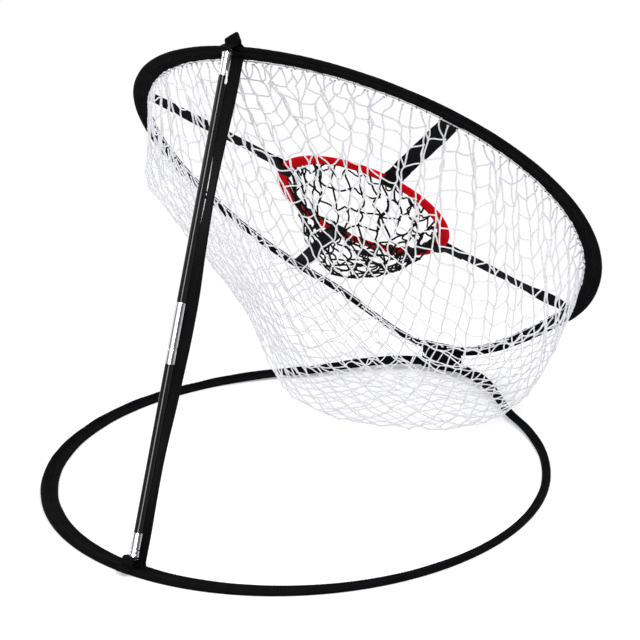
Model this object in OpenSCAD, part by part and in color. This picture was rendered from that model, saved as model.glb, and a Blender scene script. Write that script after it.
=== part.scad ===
// Golf chipping net: two sprung hoops in fabric sleeves, tied at the front and propped open by a pole.
// Origin on the floor under the back of the base hoop, at the pole's foot; -Y is the player's side, +Z is up.
// Angles round a hoop start at the front wrap (-Y) and run towards +X.

/* [Base hoop] */
// Radius of the base hoop's midline
base_r = 246; // [230:1:260]
// Reach of the base hoop's nose past that radius, at the wrap
base_nose = 52; // [40:1:60]
// Half angle of the nose
base_nose_angle = 35; // [30:1:40]
// Lift of the nose off the floor
base_lift = 8; // [5:0.5:12]
// Half angle of the lifted stretch
base_lift_angle = 65; // [55:1:75]

/* [Upper hoop] */
// Mean radius of the upper hoop's midline
upper_r = 252; // [240:1:262]
// Stretch of the hoop towards the wrap and the head
upper_oval = 13; // [8:1:16]
// Saddle-shaped warp of the hoop
upper_warp = 7.5; // [4:0.5:10]
// Dip of the hoop towards the wrap
upper_dip = 31; // [24:1:36]
// Half angle of the dip
upper_dip_angle = 38; // [34:1:42]
// Lean of the upper hoop above the floor
lean = 44; // [40:1:48]
// Height between the two sleeves' middles at the wrap
hoop_gap = 17; // [15:0.5:20]

/* [Sleeves and wires] */
// Width of a hoop sleeve
sleeve_w = 17; // [15:0.5:20]
// Thickness of a sleeve over its wire
sleeve_t = 5; // [5:0.1:6]
// Thickness of a sleeve's flat hem
hem_t = 2; // [1.5:0.1:2.4]
// Diameter of the spring wire
wire_d = 2.6; // [2.2:0.1:2.8]
// Diameter of the crimps that join a wire's ends
crimp_d = 3.8; // [3.6:0.1:4]
// Play between a crimp and its tunnel
tunnel_play = 0.1; // [0.05:0.05:0.2]

/* [Wrap and tabs] */
// Width of the front wrap
wrap_w = 42; // [36:1:44]
// Thickness of the wrap's fabric
wrap_t = 1; // [0.8:0.1:1.4]
// Width of the foot tab
foot_tab_w = 13; // [12:0.5:16]
// Reach of the foot tab's end past the base sleeve
foot_tail = 4; // [2:0.5:8]
// Width of the head tab
head_tab_w = 16; // [14:0.5:20]
// Reach of the head tab's point past the upper hoop's midline
head_reach = 26; // [24:1:30]
// Reach of the head tab's low shoulder past the upper sleeve
head_shoulder = 4; // [2:0.5:6]
// Thickness of the tabs' fabric
tab_t = 1.2; // [1:0.1:1.4]

/* [Eyelets] */
// Diameter of an eyelet's flange
eyelet_d = 9.6; // [9:0.2:11]
// Diameter of an eyelet's hole
eyelet_hole_d = 4.6; // [4.4:0.1:5]
// Wall of an eyelet's barrel and flange
eyelet_t = 0.6; // [0.5:0.1:0.8]

/* [Pole] */
// Diameter of a rod
rod_d = 7.9; // [7:0.1:8.5]
// Wall of a rod
rod_wall = 1.2; // [1:0.1:1.5]
// Wall of the ferrules
ferrule_wall = 0.45; // [0.4:0.05:0.7]
// Length of the centre ferrule
centre_ferrule_len = 54; // [48:1:60]
// Place of the centre ferrule along the pole, as a share of its length
centre_share = 0.443; // [0.4:0.001:0.5]
// Length of a tip ferrule
tip_len = 20; // [16:1:24]
// Diameter of a tip's pin
pin_d = 4; // [3.6:0.1:4.2]
// Reach of a pin past its eyelet's middle
pin_reach = 3.4; // [3:0.1:3.6]
// Diameter of the shock cord
shock_cord_d = 3; // [2.5:0.1:3.5]
// Running clearance of the upper rod in the centre ferrule
rod_play = 0.06; // [0.04:0.01:0.09]

/* [Target] */
// Radius of the target ring's outer edge
target_r = 95; // [90:1:98]
// Width of the target ring's sleeve
target_w = 9.5; // [9:0.5:11]
// Thickness of the target ring's sleeve
target_t = 4; // [3.6:0.1:4.4]
// Diameter of the target ring's wire
target_wire_d = 1.8; // [1.6:0.1:2]
// Depth of the target ring below the plane of its straps
target_drop = 3.5; // [3.2:0.1:4]
// Width of a target strap
strap_w = 18; // [16:0.5:20]
// Thickness of the webbing
strap_t = 1.2; // [1:0.1:1.4]
// Width of the rear strap
rear_strap_w = 17; // [15:0.5:18]

/* [Nets] */
// Thickness of the nets' knotted cord
net_t = 1.4; // [1.2:0.1:1.8]
// Diameter of the white edge cord
edge_cord_d = 2.4; // [2:0.1:2.8]
// Height of the bag's underside above the floor
bag_height = 7; // [6:0.5:10]
// Distance from the wrap to the middle of the bag's bottom
bag_back = 130; // [120:1:140]
// Half length of the bag's bottom, across the net
bag_half_x = 142; // [130:1:150]
// Half length of the bag's bottom, front to back
bag_half_y = 90; // [80:1:96]
// Outward fullness of the bag's sides
bag_fullness = 38; // [30:1:45]
// Slack of the bag that hangs out past the hoop at one side
bag_slack = 26; // [0:1:32]
// Depth of the pocket below the middle of the target ring
pocket_depth = 78; // [70:1:85]
// Half width of the pocket's bottom
pocket_half = 52; // [45:1:60]

/* [Clearance] */
// Gap between pieces that lie against each other
gap = 0.3; // [0.2:0.05:0.4]

/* [Hidden] */

$fn = 48;
ink = [0.1, 0.1, 0.11];
steel = [0.62, 0.63, 0.65];
bright = [0.82, 0.83, 0.85];
white = [0.93, 0.93, 0.95];
red = [0.78, 0.04, 0.08];

// Rings along a hoop, and the angle between two of them
hoop_rings = 72;
ring_step = 360 / hoop_rings;
// Ring at which each hoop's wire ends meet in the crimp
base_crimp_ring = 23;
upper_crimp_ring = 47;
// Share of a ring step left open between the wire's ends, and covered by half a crimp
butt_share = 0.02;
crimp_share = 0.45;

// Radius of the wire's tunnel, so that the crimp clears its eight sides
tunnel_r = (crimp_d / 2 + tunnel_play) / cos(22.5);
// Place of the wire across the sleeve, outwards from the midline
wire_out = sleeve_w / 2 - sleeve_t / 2 - 0.3;
half_w = sleeve_w / 2;
half_t = sleeve_t / 2;

// The base hoop's midline passes over the origin at its back, and its middle lies in front of that
back_y = 0;
base_y = back_y - base_r;

// Hinge line at the wrap
hinge_y = base_y - base_r - base_nose;
hinge_z = half_t + base_lift + hoop_gap;
// Upper hoop's own frame: its midline passes through the hinge at angle 0
upper_front = upper_r + upper_oval;
upper_low = upper_warp + upper_dip;
// Head of the upper hoop in that frame
head_y = 2 * upper_front;
head_z = upper_low - upper_warp;

// A smooth hump, 1 at angle 0 and nothing from angle w on
function hump(a, w) = let(d = abs((a + 540) % 360 - 180)) d < w ? (1 + cos(180 * d / w)) / 2 : 0;

function base_radius(a) = base_r + base_nose * hump(a, base_nose_angle);
function base_point(a) =
    let(r = base_radius(a))
    [r * sin(a), base_y - r * cos(a), half_t + base_lift * hump(a, base_lift_angle)];

function upper_radius(a) = upper_r + upper_oval * cos(2 * a);
function upper_height(a) = upper_low - upper_warp * cos(2 * a) - upper_dip * hump(a, upper_dip_angle);
function upper_point(a) =
    let(r = upper_radius(a))
    [r * sin(a), upper_front - r * cos(a), upper_height(a)];

// A point of the upper hoop's frame, in the part's frame
function from_hoop(p) =
    [p[0], hinge_y + p[1] * cos(lean) - p[2] * sin(lean), hinge_z + p[1] * sin(lean) + p[2] * cos(lean)];

module on_hoop() {
    translate([0, hinge_y, hinge_z]) rotate([lean, 0, 0]) children();
}

// Pole: from the foot eyelet's middle to the head eyelet's middle
foot_y = back_y - 4;
foot_z = sleeve_t + 0.5 + eyelet_d / 2;
head_out = eyelet_d / 2 + 7.4;
head_drop = 6.8;
head_point = from_hoop([0, head_y + head_out, head_z - head_drop]);
pole_len = norm([head_point[1] - foot_y, head_point[2] - foot_z]);
pole_tilt = atan2(foot_y - head_point[1], head_point[2] - foot_z);

module on_pole(s = 0) {
    translate([0, foot_y, foot_z]) rotate([pole_tilt, 0, 0]) translate([0, 0, s]) children();
}

// Half thickness of an eyelet's stack: the tab and one flange
stack = tab_t / 2 + eyelet_t + 0.1;
shoulder = stack + 0.2;
rod_inset = 3;
ferrule_mid = pole_len * centre_share;
ferrule_r = rod_d / 2 + ferrule_wall + rod_play;
cord_end = 8;

// Rings and skins ---------------------------------------------------------------------------------

function unit(v) = v / norm(v);
function mix(a, b, t) = a + (b - a) * t;

// Direction along a closed path, outwards across it, and up from it
function along(path, i) = let(n = len(path)) unit(path[(i + 1) % n] - path[(i + n - 1) % n]);
function outward(path, i) = unit(cross(along(path, i), [0, 0, 1]));
function upward(path, i) = cross(outward(path, i), along(path, i));
function ring(path, i, profile) =
    let(u = outward(path, i), v = upward(path, i))
    [for (p = profile) path[i] + u * p[0] + v * p[1]];
function rings(path, profile) = [for (i = [0 : len(path) - 1]) ring(path, i, profile)];
function between(a, b, t) = [for (j = [0 : len(a) - 1]) mix(a[j], b[j], t)];

// A round profile of n sides, with a side facing up
function round_profile(r, n, at = [0, 0]) =
    [for (j = [0 : n - 1]) at + r * [cos((j + 0.5) * 360 / n), sin((j + 0.5) * 360 / n)]];

// A skin over rings of equal length, either closed on itself or capped at both ends
module skin(rows, closed = true) {
    n = len(rows);
    m = len(rows[0]);
    last = closed ? n - 1 : n - 2;
    sides = [for (i = [0 : last]) for (j = [0 : m - 1])
        let(a = i * m, b = ((i + 1) % n) * m, k = (j + 1) % m)
        each [[a + j, a + k, b + k], [a + j, b + k, b + j]]];
    caps = closed ? [] : [[for (j = [m - 1 : -1 : 0]) j], [for (j = [0 : m - 1]) (n - 1) * m + j]];
    polyhedron([for (row = rows) each row], concat(sides, caps), convexity = 10);
}

base_path = [for (i = [0 : hoop_rings - 1]) base_point(i * ring_step)];
upper_path = [for (i = [0 : hoop_rings - 1]) upper_point(i * ring_step)];

// Hoops -------------------------------------------------------------------------------------------

// Section of the base sleeve, flat underneath
base_section = [[half_w, -0.4], [wire_out + 2, half_t - 0.5], [wire_out, half_t], [wire_out - 2.2, half_t - 0.4],
                [1, hem_t - half_t + 0.7], [0.5 - half_w, hem_t - half_t], [-half_w, hem_t / 2 - half_t],
                [0.5 - half_w, -half_t], [half_w - 0.8, -half_t]];
// Section of the upper sleeve, alike on both sides
upper_half = [[wire_out + 2, half_t - 0.5], [wire_out, half_t], [wire_out - 2.2, half_t - 0.4],
              [1, hem_t / 2 + 0.5], [0.5 - half_w, hem_t / 2]];
upper_section = concat([[half_w, 0]], upper_half, [[-half_w, 0]],
                       [for (j = [4 : -1 : 0]) [upper_half[j][0], -upper_half[j][1]]]);

module sleeve(path, section) {
    difference() {
        skin(rings(path, section));
        skin(rings(path, round_profile(tunnel_r, 8, [wire_out, 0])));
    }
}

// The wire runs once round, and its ends nearly meet in the crimp
module spring_wire(path, joint) {
    n = len(path);
    profile = round_profile(wire_d / 2, 6, [wire_out, 0]);
    all = rings(path, profile);
    skin(concat([between(all[joint], all[joint + 1], butt_share)],
                [for (i = [1 : n - 1]) all[(joint + i) % n]],
                [between(all[joint], all[joint - 1], butt_share)]), closed = false);
}

module crimp(path, joint) {
    outer = rings(path, round_profile(crimp_d / 2, 8, [wire_out, 0]));
    bore_r = (wire_d / 2 + 0.05) / cos(22.5);
    inner = rings(path, round_profile(bore_r, 8, [wire_out, 0]));
    stops = [-crimp_share, 0, crimp_share];
    function stop_row(rows, t) = t < 0 ? between(rows[joint], rows[joint - 1], -t)
                                       : between(rows[joint], rows[joint + 1], t);
    skin(concat([for (t = stops) stop_row(outer, t)], [for (k = [2 : -1 : 0]) stop_row(inner, stops[k])]));
}

module base_spring_hoop() { color(steel) spring_wire(base_path, base_crimp_ring); }
module base_hoop_crimp() { color(bright) crimp(base_path, base_crimp_ring); }
module base_sleeve() { color(ink) sleeve(base_path, base_section); }
module upper_spring_hoop() { color(steel) on_hoop() spring_wire(upper_path, upper_crimp_ring); }
module upper_hoop_crimp() { color(bright) on_hoop() crimp(upper_path, upper_crimp_ring); }
module upper_sleeve() { color(ink) on_hoop() sleeve(upper_path, upper_section); }

// Front wrap --------------------------------------------------------------------------------------

// Corners of both sleeves at the wrap's middle and near its sides, seen along the hinge line
base_corners = [[half_w, -half_t], [half_w, half_t], [-half_w, -half_t], [-half_w, hem_t - half_t]];
upper_corners = [[half_w, half_t - 0.3], [half_w, 0.3 - half_t], [-half_w, half_t / 2], [-half_w, -half_t / 2]];
function seen(points) = [for (p = points) [p[1], p[2]]];
wrap_corners = concat(
    seen(ring(base_path, 0, base_corners)),
    seen(ring(base_path, 1, base_corners)),
    seen([for (p = ring(upper_path, 0, upper_corners)) from_hoop(p)]),
    seen([for (p = ring(upper_path, 1, upper_corners)) from_hoop(p)]));

module wrap_outline(r) {
    hull() for (c = wrap_corners) translate(c) circle(r, $fn = 16);
}

module hinge_wrap() {
    color(ink) rotate([90, 0, 90]) linear_extrude(wrap_w, center = true) difference() {
        wrap_outline(gap + wrap_t);
        wrap_outline(gap);
    }
}

// Tabs and eyelets --------------------------------------------------------------------------------

// A strip that follows a centre line in the plane across it, as a polygon
function side_of(line, i, d) =
    let(n = len(line),
        a = unit(line[min(i + 1, n - 1)] - line[min(i, n - 2)]),
        b = unit(line[max(i, 1)] - line[max(i - 1, 0)]),
        s = unit(a + b),
        k = d / max(0.5, s * a))
    line[i] + k * [-s[1], s[0]];
function strip(line, t) =
    concat([for (i = [0 : len(line) - 1]) side_of(line, i, t / 2)],
           [for (i = [len(line) - 1 : -1 : 0]) side_of(line, i, -t / 2)]);

// The lower half has the barrel that passes through the tab and the washer
barrel_r = eyelet_hole_d / 2 + eyelet_t;
module eyelet_half() {
    difference() {
        union() {
            translate([0, 0, -stack]) cylinder(r = eyelet_d / 2, h = eyelet_t);
            translate([0, 0, -stack]) cylinder(r = barrel_r, h = 2 * stack);
        }
        translate([0, 0, -stack - 1]) cylinder(r = eyelet_hole_d / 2, h = 2 * stack + 2);
    }
}

module washer_half() {
    translate([0, 0, stack - eyelet_t]) difference() {
        cylinder(r = eyelet_d / 2, h = eyelet_t);
        translate([0, 0, -1]) cylinder(r = barrel_r + 0.05, h = eyelet_t + 2);
    }
}

tab_hole_r = barrel_r + 0.15;

// The foot tab lies square to the pole round its eyelet, folds down on to the sleeve's hem, and runs out
// over the bead to a loose tail. Its line is seen along the hinge line.
tab_half = tab_t / 2;
hem_top = hem_t + gap + tab_half;
bead_top = sleeve_t + gap + tab_half;
function across_pole(d) = [foot_y, foot_z] + d * [cos(pole_tilt), sin(pole_tilt)];
foot_tab_line = [across_pole(eyelet_d / 2 + 6), across_pole(-eyelet_d / 2 - 0.6),
                 [back_y - half_w + 1.7, hem_top + 0.1], [back_y - 3.4, hem_top + 0.1],
                 [back_y + wire_out - 2.8, bead_top], [back_y + half_w, bead_top],
                 [back_y + half_w + foot_tail, sleeve_t - foot_tail / 2]];

module foot_tab() {
    color(ink) difference() {
        rotate([90, 0, 90]) linear_extrude(foot_tab_w, center = true) polygon(strip(foot_tab_line, tab_t));
        on_pole(-tab_t) cylinder(r = tab_hole_r, h = 2 * tab_t);
    }
}

module foot_eyelet() { color(bright) on_pole() eyelet_half(); }
module foot_eyelet_washer() { color(bright) on_pole() washer_half(); }

// The head tab is a tongue over the sleeve, folded back under itself to hold the eyelet. Its end is cut at a
// slant to a blunt point on one side.
tongue_z = half_t + gap + tab_t / 2;
flap_slope = tan(lean - pole_tilt);
head_tab_line = [[3 - half_w, tongue_z], [head_reach - 3, tongue_z], [head_reach, tongue_z - 2.4],
                 [head_out + eyelet_d / 2 + 2.6, -head_drop - (eyelet_d / 2 + 2.6) * flap_slope],
                 [half_w - wire_out + 2.6, -head_drop + (head_out - half_w + wire_out - 2.6) * flap_slope]];

module head_tab() {
    side = head_tab_w / 2;
    color(ink) difference() {
        on_hoop() translate([0, head_y, head_z]) intersection() {
            rotate([90, 0, 90]) linear_extrude(head_tab_w, center = true) polygon(strip(head_tab_line, tab_t));
            translate([0, 0, -30]) linear_extrude(60)
                polygon([[-side, -half_w], [side, -half_w], [side, half_w + head_shoulder],
                         [-2, head_reach + 2], [1 - side, head_reach + 2], [-side, head_reach - 1]]);
        }
        on_pole(pole_len - 4) cylinder(r = tab_hole_r, h = 7);
    }
}

module head_eyelet() { color(bright) on_pole(pole_len) mirror([0, 0, 1]) eyelet_half(); }
module head_eyelet_washer() { color(bright) on_pole(pole_len) mirror([0, 0, 1]) washer_half(); }

// Pole --------------------------------------------------------------------------------------------

module tube(r_out, r_in, len) {
    difference() {
        cylinder(r = r_out, h = len);
        translate([0, 0, -1]) cylinder(r = r_in, h = len + 2);
    }
}

rod_bore_r = rod_d / 2 - rod_wall;

module lower_rod() {
    color(ink) on_pole(shoulder + rod_inset)
        tube(rod_d / 2, rod_bore_r, ferrule_mid - shoulder - rod_inset - 0.1);
}

module upper_rod() {
    color(ink) on_pole(ferrule_mid + 0.1)
        tube(rod_d / 2, rod_bore_r, pole_len - ferrule_mid - shoulder - rod_inset - 0.1);
}

// The centre ferrule has rolled ends and is crimped into the lower rod's end by a groove
module centre_ferrule() {
    half = centre_ferrule_len / 2;
    bore = rod_d / 2 + rod_play;
    groove = 0.25;
    color(bright) on_pole(ferrule_mid) rotate_extrude()
        polygon([[bore, -half], [ferrule_r - 0.2, -half], [ferrule_r, 0.4 - half],
                 [ferrule_r, -half / 2 - 1.5], [ferrule_r - groove, -half / 2 - 0.8],
                 [ferrule_r - groove, 0.8 - half / 2], [ferrule_r, 1.5 - half / 2],
                 [ferrule_r, half - 0.4], [ferrule_r - 0.2, half], [bore, half]]);
}

// A tip is a turned cup over the rod's end, with a flange and a pin that seats in the eyelet.
// It is drawn with the eyelet's middle at the origin and the rod above.
module tip() {
    pin_r = pin_d / 2;
    cup_floor = shoulder + rod_inset;
    flange_r = eyelet_d / 2;
    rotate_extrude()
        polygon([[0, -pin_reach], [pin_r - 0.5, -pin_reach], [pin_r, 0.5 - pin_reach], [pin_r, shoulder],
                 [flange_r, shoulder], [flange_r, shoulder + 1], [ferrule_r, shoulder + 1.6],
                 [ferrule_r, shoulder + 4.4], [ferrule_r - 0.3, shoulder + 5], [ferrule_r, shoulder + 5.6],
                 [ferrule_r, shoulder + tip_len], [rod_d / 2 + rod_play, shoulder + tip_len],
                 [rod_d / 2 + rod_play, cup_floor - 0.1], [0, cup_floor - 0.1]]);
}

module foot_tip() { color(bright) on_pole() tip(); }
module head_tip() { color(bright) on_pole(pole_len) mirror([0, 0, 1]) tip(); }

module shock_cord() {
    color(ink) on_pole(shoulder + cord_end) cylinder(d = shock_cord_d, h = pole_len - 2 * (shoulder + cord_end));
}

module cord_stop(s) {
    on_pole(s) tube(rod_bore_r - 0.15, shock_cord_d / 2 + 0.1, 5);
}

module cord_stop_lower() { color(ink) cord_stop(shoulder + cord_end); }
module cord_stop_upper() { color(ink) cord_stop(pole_len - shoulder - cord_end - 5); }

// Rear strap --------------------------------------------------------------------------------------

module rear_strap() {
    // Foot against the base sleeve's hem, head under the upper sleeve's hem
    foot = [back_y - half_w - gap - strap_t / 2, half_t - 1.5];
    top = from_hoop([0, head_y, head_z - hem_t / 2 - gap - 1.7]);
    head = [top[1], top[2]];
    line = [foot, foot + [0, 3], head];
    color(ink) rotate([90, 0, 90]) linear_extrude(rear_strap_w, center = true) polygon(strip(line, strap_t));
}

// Nets --------------------------------------------------------------------------------------------

bag_rows = 10;
pocket_rows = 8;
row_end = 0.995;

// A hanging net's curve from a rim point, over a rounded corner, to the middle of its bottom
function hang(rim, corner, middle, side, full, s) =
    let(p1 = mix(rim, corner, 0.97) + side,
        p2 = mix(middle, corner, 0.97),
        a = pow(1 - s, 3),
        b = 3 * s * pow(1 - s, 2) * full,
        c = 3 * s * s * (1 - s) * full,
        d = pow(s, 3))
    (a * rim + b * p1 + c * p2 + d * middle) / (a + b + c + d);

function heading(a) = [sin(a), -cos(a), 0];

// The edge cord runs under the sleeve's hem, and swings inwards past the wrap at the front
wrap_pass = 14;
function cord_in(a) = half_w - 1 + 6 * hump(a, wrap_pass);
function cord_down(a) = hem_t / 2 + gap + edge_cord_d / 2 - 1.5 * hump(a, wrap_pass);
rim_drop = edge_cord_d / 2 + gap;

bag_middle_y = hinge_y + bag_back;
slack_angle = 118;
slack_spread = 55;
slack_row = 0.08;

function bag_rim(a, inset) =
    let(i = round(a / ring_step), p = upper_path[i], u = outward(upper_path, i), v = upward(upper_path, i))
    from_hoop(p - u * (cord_in(a) + inset) - v * (cord_down(a) + rim_drop));

function bag_point(a, s, inset) =
    let(rim = bag_rim(a, inset),
        middle = [bag_back / 16, bag_middle_y, bag_height + inset],
        corner = middle + [(bag_half_x - inset) * sin(a), -(bag_half_y - inset) * cos(a), 0],
        side = [sin(a), -cos(a) / 2, 0] * bag_fullness,
        slack = bag_slack * hump(a - slack_angle, slack_spread) * min(1, s / slack_row)
            * pow(max(0, 1 - max(0, s - slack_row) / (2 * slack_row)), 2))
    hang(rim, corner, middle, side, 2.2, s) + heading(a) * slack;

function net_row_end(k, n) = row_end * k / n;

module net_bag() {
    columns = [for (i = [0 : hoop_rings - 1]) i * ring_step];
    rows = concat([for (k = [0 : bag_rows]) [for (a = columns) bag_point(a, net_row_end(k, bag_rows), 0)]],
                  [for (k = [bag_rows : -1 : 0]) [for (a = columns) bag_point(a, net_row_end(k, bag_rows), net_t)]]);
    color(white) skin(rows);
}

module net_edge_cord() {
    profile = round_profile(edge_cord_d / 2, 6);
    rows = [for (i = [0 : hoop_rings - 1])
        let(u = outward(upper_path, i), v = upward(upper_path, i), a = i * ring_step)
        [for (p = profile) upper_path[i] + u * (p[0] - cord_in(a)) + v * (p[1] - cord_down(a))]];
    color(white) on_hoop() skin(rows);
}

// Target ------------------------------------------------------------------------------------------

// Middle of the target ring, in the upper hoop's frame
target_z = upper_low - target_drop;
target_wire_r = target_r - target_t / 2 - 0.2;
target_tunnel_r = target_wire_d / 2 + 0.45;
round_fn = 180;
// The strap loops run just inside and outside the ring, allowing for its bend over their width
loop_in = sqrt(pow(target_r - target_w, 2) - pow(strap_w / 2, 2)) - gap;
// The pocket hangs just inside the loops
pocket_ease = 1;
pocket_rim_r = loop_in - strap_t - gap - pocket_ease;

module on_target() {
    on_hoop() translate([0, upper_front, target_z]) children();
}

module target_sleeve() {
    in = target_r - target_w;
    h = target_t / 2;
    color(red) on_target() difference() {
        rotate_extrude($fn = round_fn)
            polygon([[in, -0.5], [in + 0.6, -0.9], [target_wire_r - 2.4, -1.3], [target_wire_r - 0.8, -h],
                     [target_wire_r + 0.8, -h], [target_r, -0.9], [target_r, 0.9],
                     [target_wire_r + 0.8, h], [target_wire_r - 0.8, h], [target_wire_r - 2.4, 1.3],
                     [in + 0.6, 0.9], [in, 0.5]]);
        rotate_extrude($fn = round_fn) translate([target_wire_r, 0]) circle(target_tunnel_r);
    }
}

// The wire leaves a small gap, which the crimp covers
target_crimp_half = 6;
module target_wire() {
    open = 0.3;
    color(steel) on_target() rotate([0, 0, open / 2]) rotate_extrude(angle = 360 - open, $fn = round_fn)
        translate([target_wire_r, 0]) circle(target_wire_d / 2);
}

module target_crimp() {
    turn = 2 * target_crimp_half;
    color(bright) on_target() rotate([0, 0, -target_crimp_half]) rotate_extrude(angle = turn, $fn = round_fn)
        translate([target_wire_r, 0]) difference() {
            circle(target_tunnel_r - 0.06);
            circle(target_wire_d / 2 + 0.05);
        }
}

function pocket_point(a, s, inset) =
    let(r = pocket_rim_r - inset,
        rim = from_hoop([r * sin(a), upper_front - r * cos(a), target_z]),
        centre = from_hoop([0, upper_front, target_z]),
        middle = centre - [0, 8, pocket_depth - inset],
        corner = middle + heading(a) * (pocket_half - inset))
    hang(rim, corner, middle, heading(a) * 6, 1.2, s);

module pocket_net() {
    columns = [for (k = [0 : 27]) k * 360 / 28];
    rows = concat([for (k = [0 : pocket_rows]) [for (a = columns) pocket_point(a, net_row_end(k, pocket_rows), 0)]],
                  [for (k = [pocket_rows : -1 : 0])
                      [for (a = columns) pocket_point(a, net_row_end(k, pocket_rows), net_t)]]);
    color(ink) skin(rows);
}

// Reach of a strap's end, at a distance to the side of its middle line
function strap_reach(a, side) =
    let(d = asin(side / upper_r))
    (upper_radius(a + d) - half_w - gap) * cos(d);

// A strap loops round the target ring and ends at the upper sleeve's hem
module target_strap(a) {
    low = -target_drop - target_t / 2 - gap;
    half = strap_w / 2;
    loop_out = target_r + gap;
    color(ink) on_hoop() translate([0, upper_front, upper_low]) rotate([0, 0, a - 90]) {
        translate([0, 0, -strap_t / 2]) linear_extrude(strap_t)
            polygon([[loop_in, -half], [strap_reach(a, -half), -half], [strap_reach(a, 0), 0],
                     [strap_reach(a, half), half], [loop_in, half]]);
        rotate([90, 0, 0]) linear_extrude(strap_w, center = true) difference() {
            polygon([[loop_in - strap_t, low], [loop_in, low - strap_t], [loop_out, low - strap_t],
                     [loop_out + 5, -strap_t / 2], [loop_out + 5, strap_t / 2], [loop_in, strap_t / 2],
                     [loop_in - strap_t, -strap_t / 2]]);
            polygon([[loop_in, low], [loop_out - 0.2, low], [loop_out, low + 0.4],
                     [loop_out, -strap_t / 2], [loop_in, -strap_t / 2]]);
        }
    }
}

module target_strap_low_right() { target_strap(45); }
module target_strap_high_right() { target_strap(135); }
module target_strap_high_left() { target_strap(225); }
module target_strap_low_left() { target_strap(315); }

base_spring_hoop();
base_hoop_crimp();
base_sleeve();
upper_spring_hoop();
upper_hoop_crimp();
upper_sleeve();
hinge_wrap();
foot_tab();
foot_eyelet();
foot_eyelet_washer();
head_tab();
head_eyelet();
head_eyelet_washer();
lower_rod();
upper_rod();
centre_ferrule();
foot_tip();
head_tip();
shock_cord();
cord_stop_lower();
cord_stop_upper();
rear_strap();
net_bag();
net_edge_cord();
target_sleeve();
target_wire();
target_crimp();
pocket_net();
target_strap_low_right();
target_strap_high_right();
target_strap_high_left();
target_strap_low_left();
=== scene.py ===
"""Golf chipping net: the finish of every surface, the netting, the sewn sleeves and the webbing.

Shapes are worked out in millimetres in the frame's own axes, and become metres when a mesh is made.
Angles round a hoop start at the front wrap (-Y) and run towards +X, in degrees.
"""
import itertools
import math
import bpy
import numpy as np
from mathutils import Matrix, Vector


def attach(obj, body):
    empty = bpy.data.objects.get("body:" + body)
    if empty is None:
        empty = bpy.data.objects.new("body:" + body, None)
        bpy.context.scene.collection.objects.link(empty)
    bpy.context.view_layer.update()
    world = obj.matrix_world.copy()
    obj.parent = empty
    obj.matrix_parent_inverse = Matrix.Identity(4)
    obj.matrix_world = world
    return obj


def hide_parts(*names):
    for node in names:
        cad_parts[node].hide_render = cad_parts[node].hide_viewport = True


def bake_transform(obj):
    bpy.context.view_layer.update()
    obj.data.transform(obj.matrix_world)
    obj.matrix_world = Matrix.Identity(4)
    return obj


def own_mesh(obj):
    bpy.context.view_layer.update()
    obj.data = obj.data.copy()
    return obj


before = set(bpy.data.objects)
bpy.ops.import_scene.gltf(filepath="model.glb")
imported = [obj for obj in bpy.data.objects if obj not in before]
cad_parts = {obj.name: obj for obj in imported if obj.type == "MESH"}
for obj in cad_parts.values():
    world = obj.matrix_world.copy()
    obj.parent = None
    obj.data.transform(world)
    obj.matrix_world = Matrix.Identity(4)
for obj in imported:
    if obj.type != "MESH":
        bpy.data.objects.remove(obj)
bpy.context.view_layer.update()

MM = 0.001
chance = np.random.default_rng(11)


# ---- Camera ----

CAMERA_PLACE = Vector((-0.7110, 0.7161, 0.5640))
CAMERA_BACK = Vector((-0.54388693, 0.77367071, 0.32499328))
CAMERA_ROLL = math.radians(-1.885)
CAMERA_LENS = 73.125


def new_object(name, data):
    made = bpy.data.objects.new(name, data)
    bpy.context.scene.collection.objects.link(made)
    return made


def make_camera():
    side = (-CAMERA_BACK).cross(Vector((0, 0, 1))).normalized()
    rise = side.cross(-CAMERA_BACK)
    x_axis = math.cos(CAMERA_ROLL) * side + math.sin(CAMERA_ROLL) * rise
    y_axis = -math.sin(CAMERA_ROLL) * side + math.cos(CAMERA_ROLL) * rise
    data = bpy.data.cameras.new("camera")
    data.lens = CAMERA_LENS
    data.sensor_width = 36
    camera = new_object("camera", data)
    turn = Matrix((x_axis, y_axis, CAMERA_BACK)).transposed().to_4x4()
    camera.matrix_world = Matrix.Translation(CAMERA_PLACE) @ turn
    bpy.context.scene.camera = camera


make_camera()


# ---- Materials ----

# A wave texture of scale 1 repeats every 2 pi / 20 units
WAVE_PERIOD = 2 * math.pi / 20


def add_node(tree, kind, inputs=(), **settings):
    """A shader node. inputs holds pairs of an input's name or number, and its value or the socket it links to."""
    node = tree.nodes.new("ShaderNode" + kind)
    for name, value in settings.items():
        setattr(node, name, value)
    for key, value in inputs:
        if isinstance(value, bpy.types.NodeSocket):
            tree.links.new(value, node.inputs[key])
        else:
            node.inputs[key].default_value = value
    return node


def add_ramp(tree, fac, low, high, start=0.0, end=1.0):
    """Colours from low to high as fac runs from start to end. A single number is a grey."""
    node = add_node(tree, "ValToRGB", [("Fac", fac)])
    for stop, position, value in zip(node.color_ramp.elements, (start, end), (low, high)):
        stop.position = position
        stop.color = (*value, 1) if isinstance(value, tuple) else (value, value, value, 1)
    return node.outputs["Color"]


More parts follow.
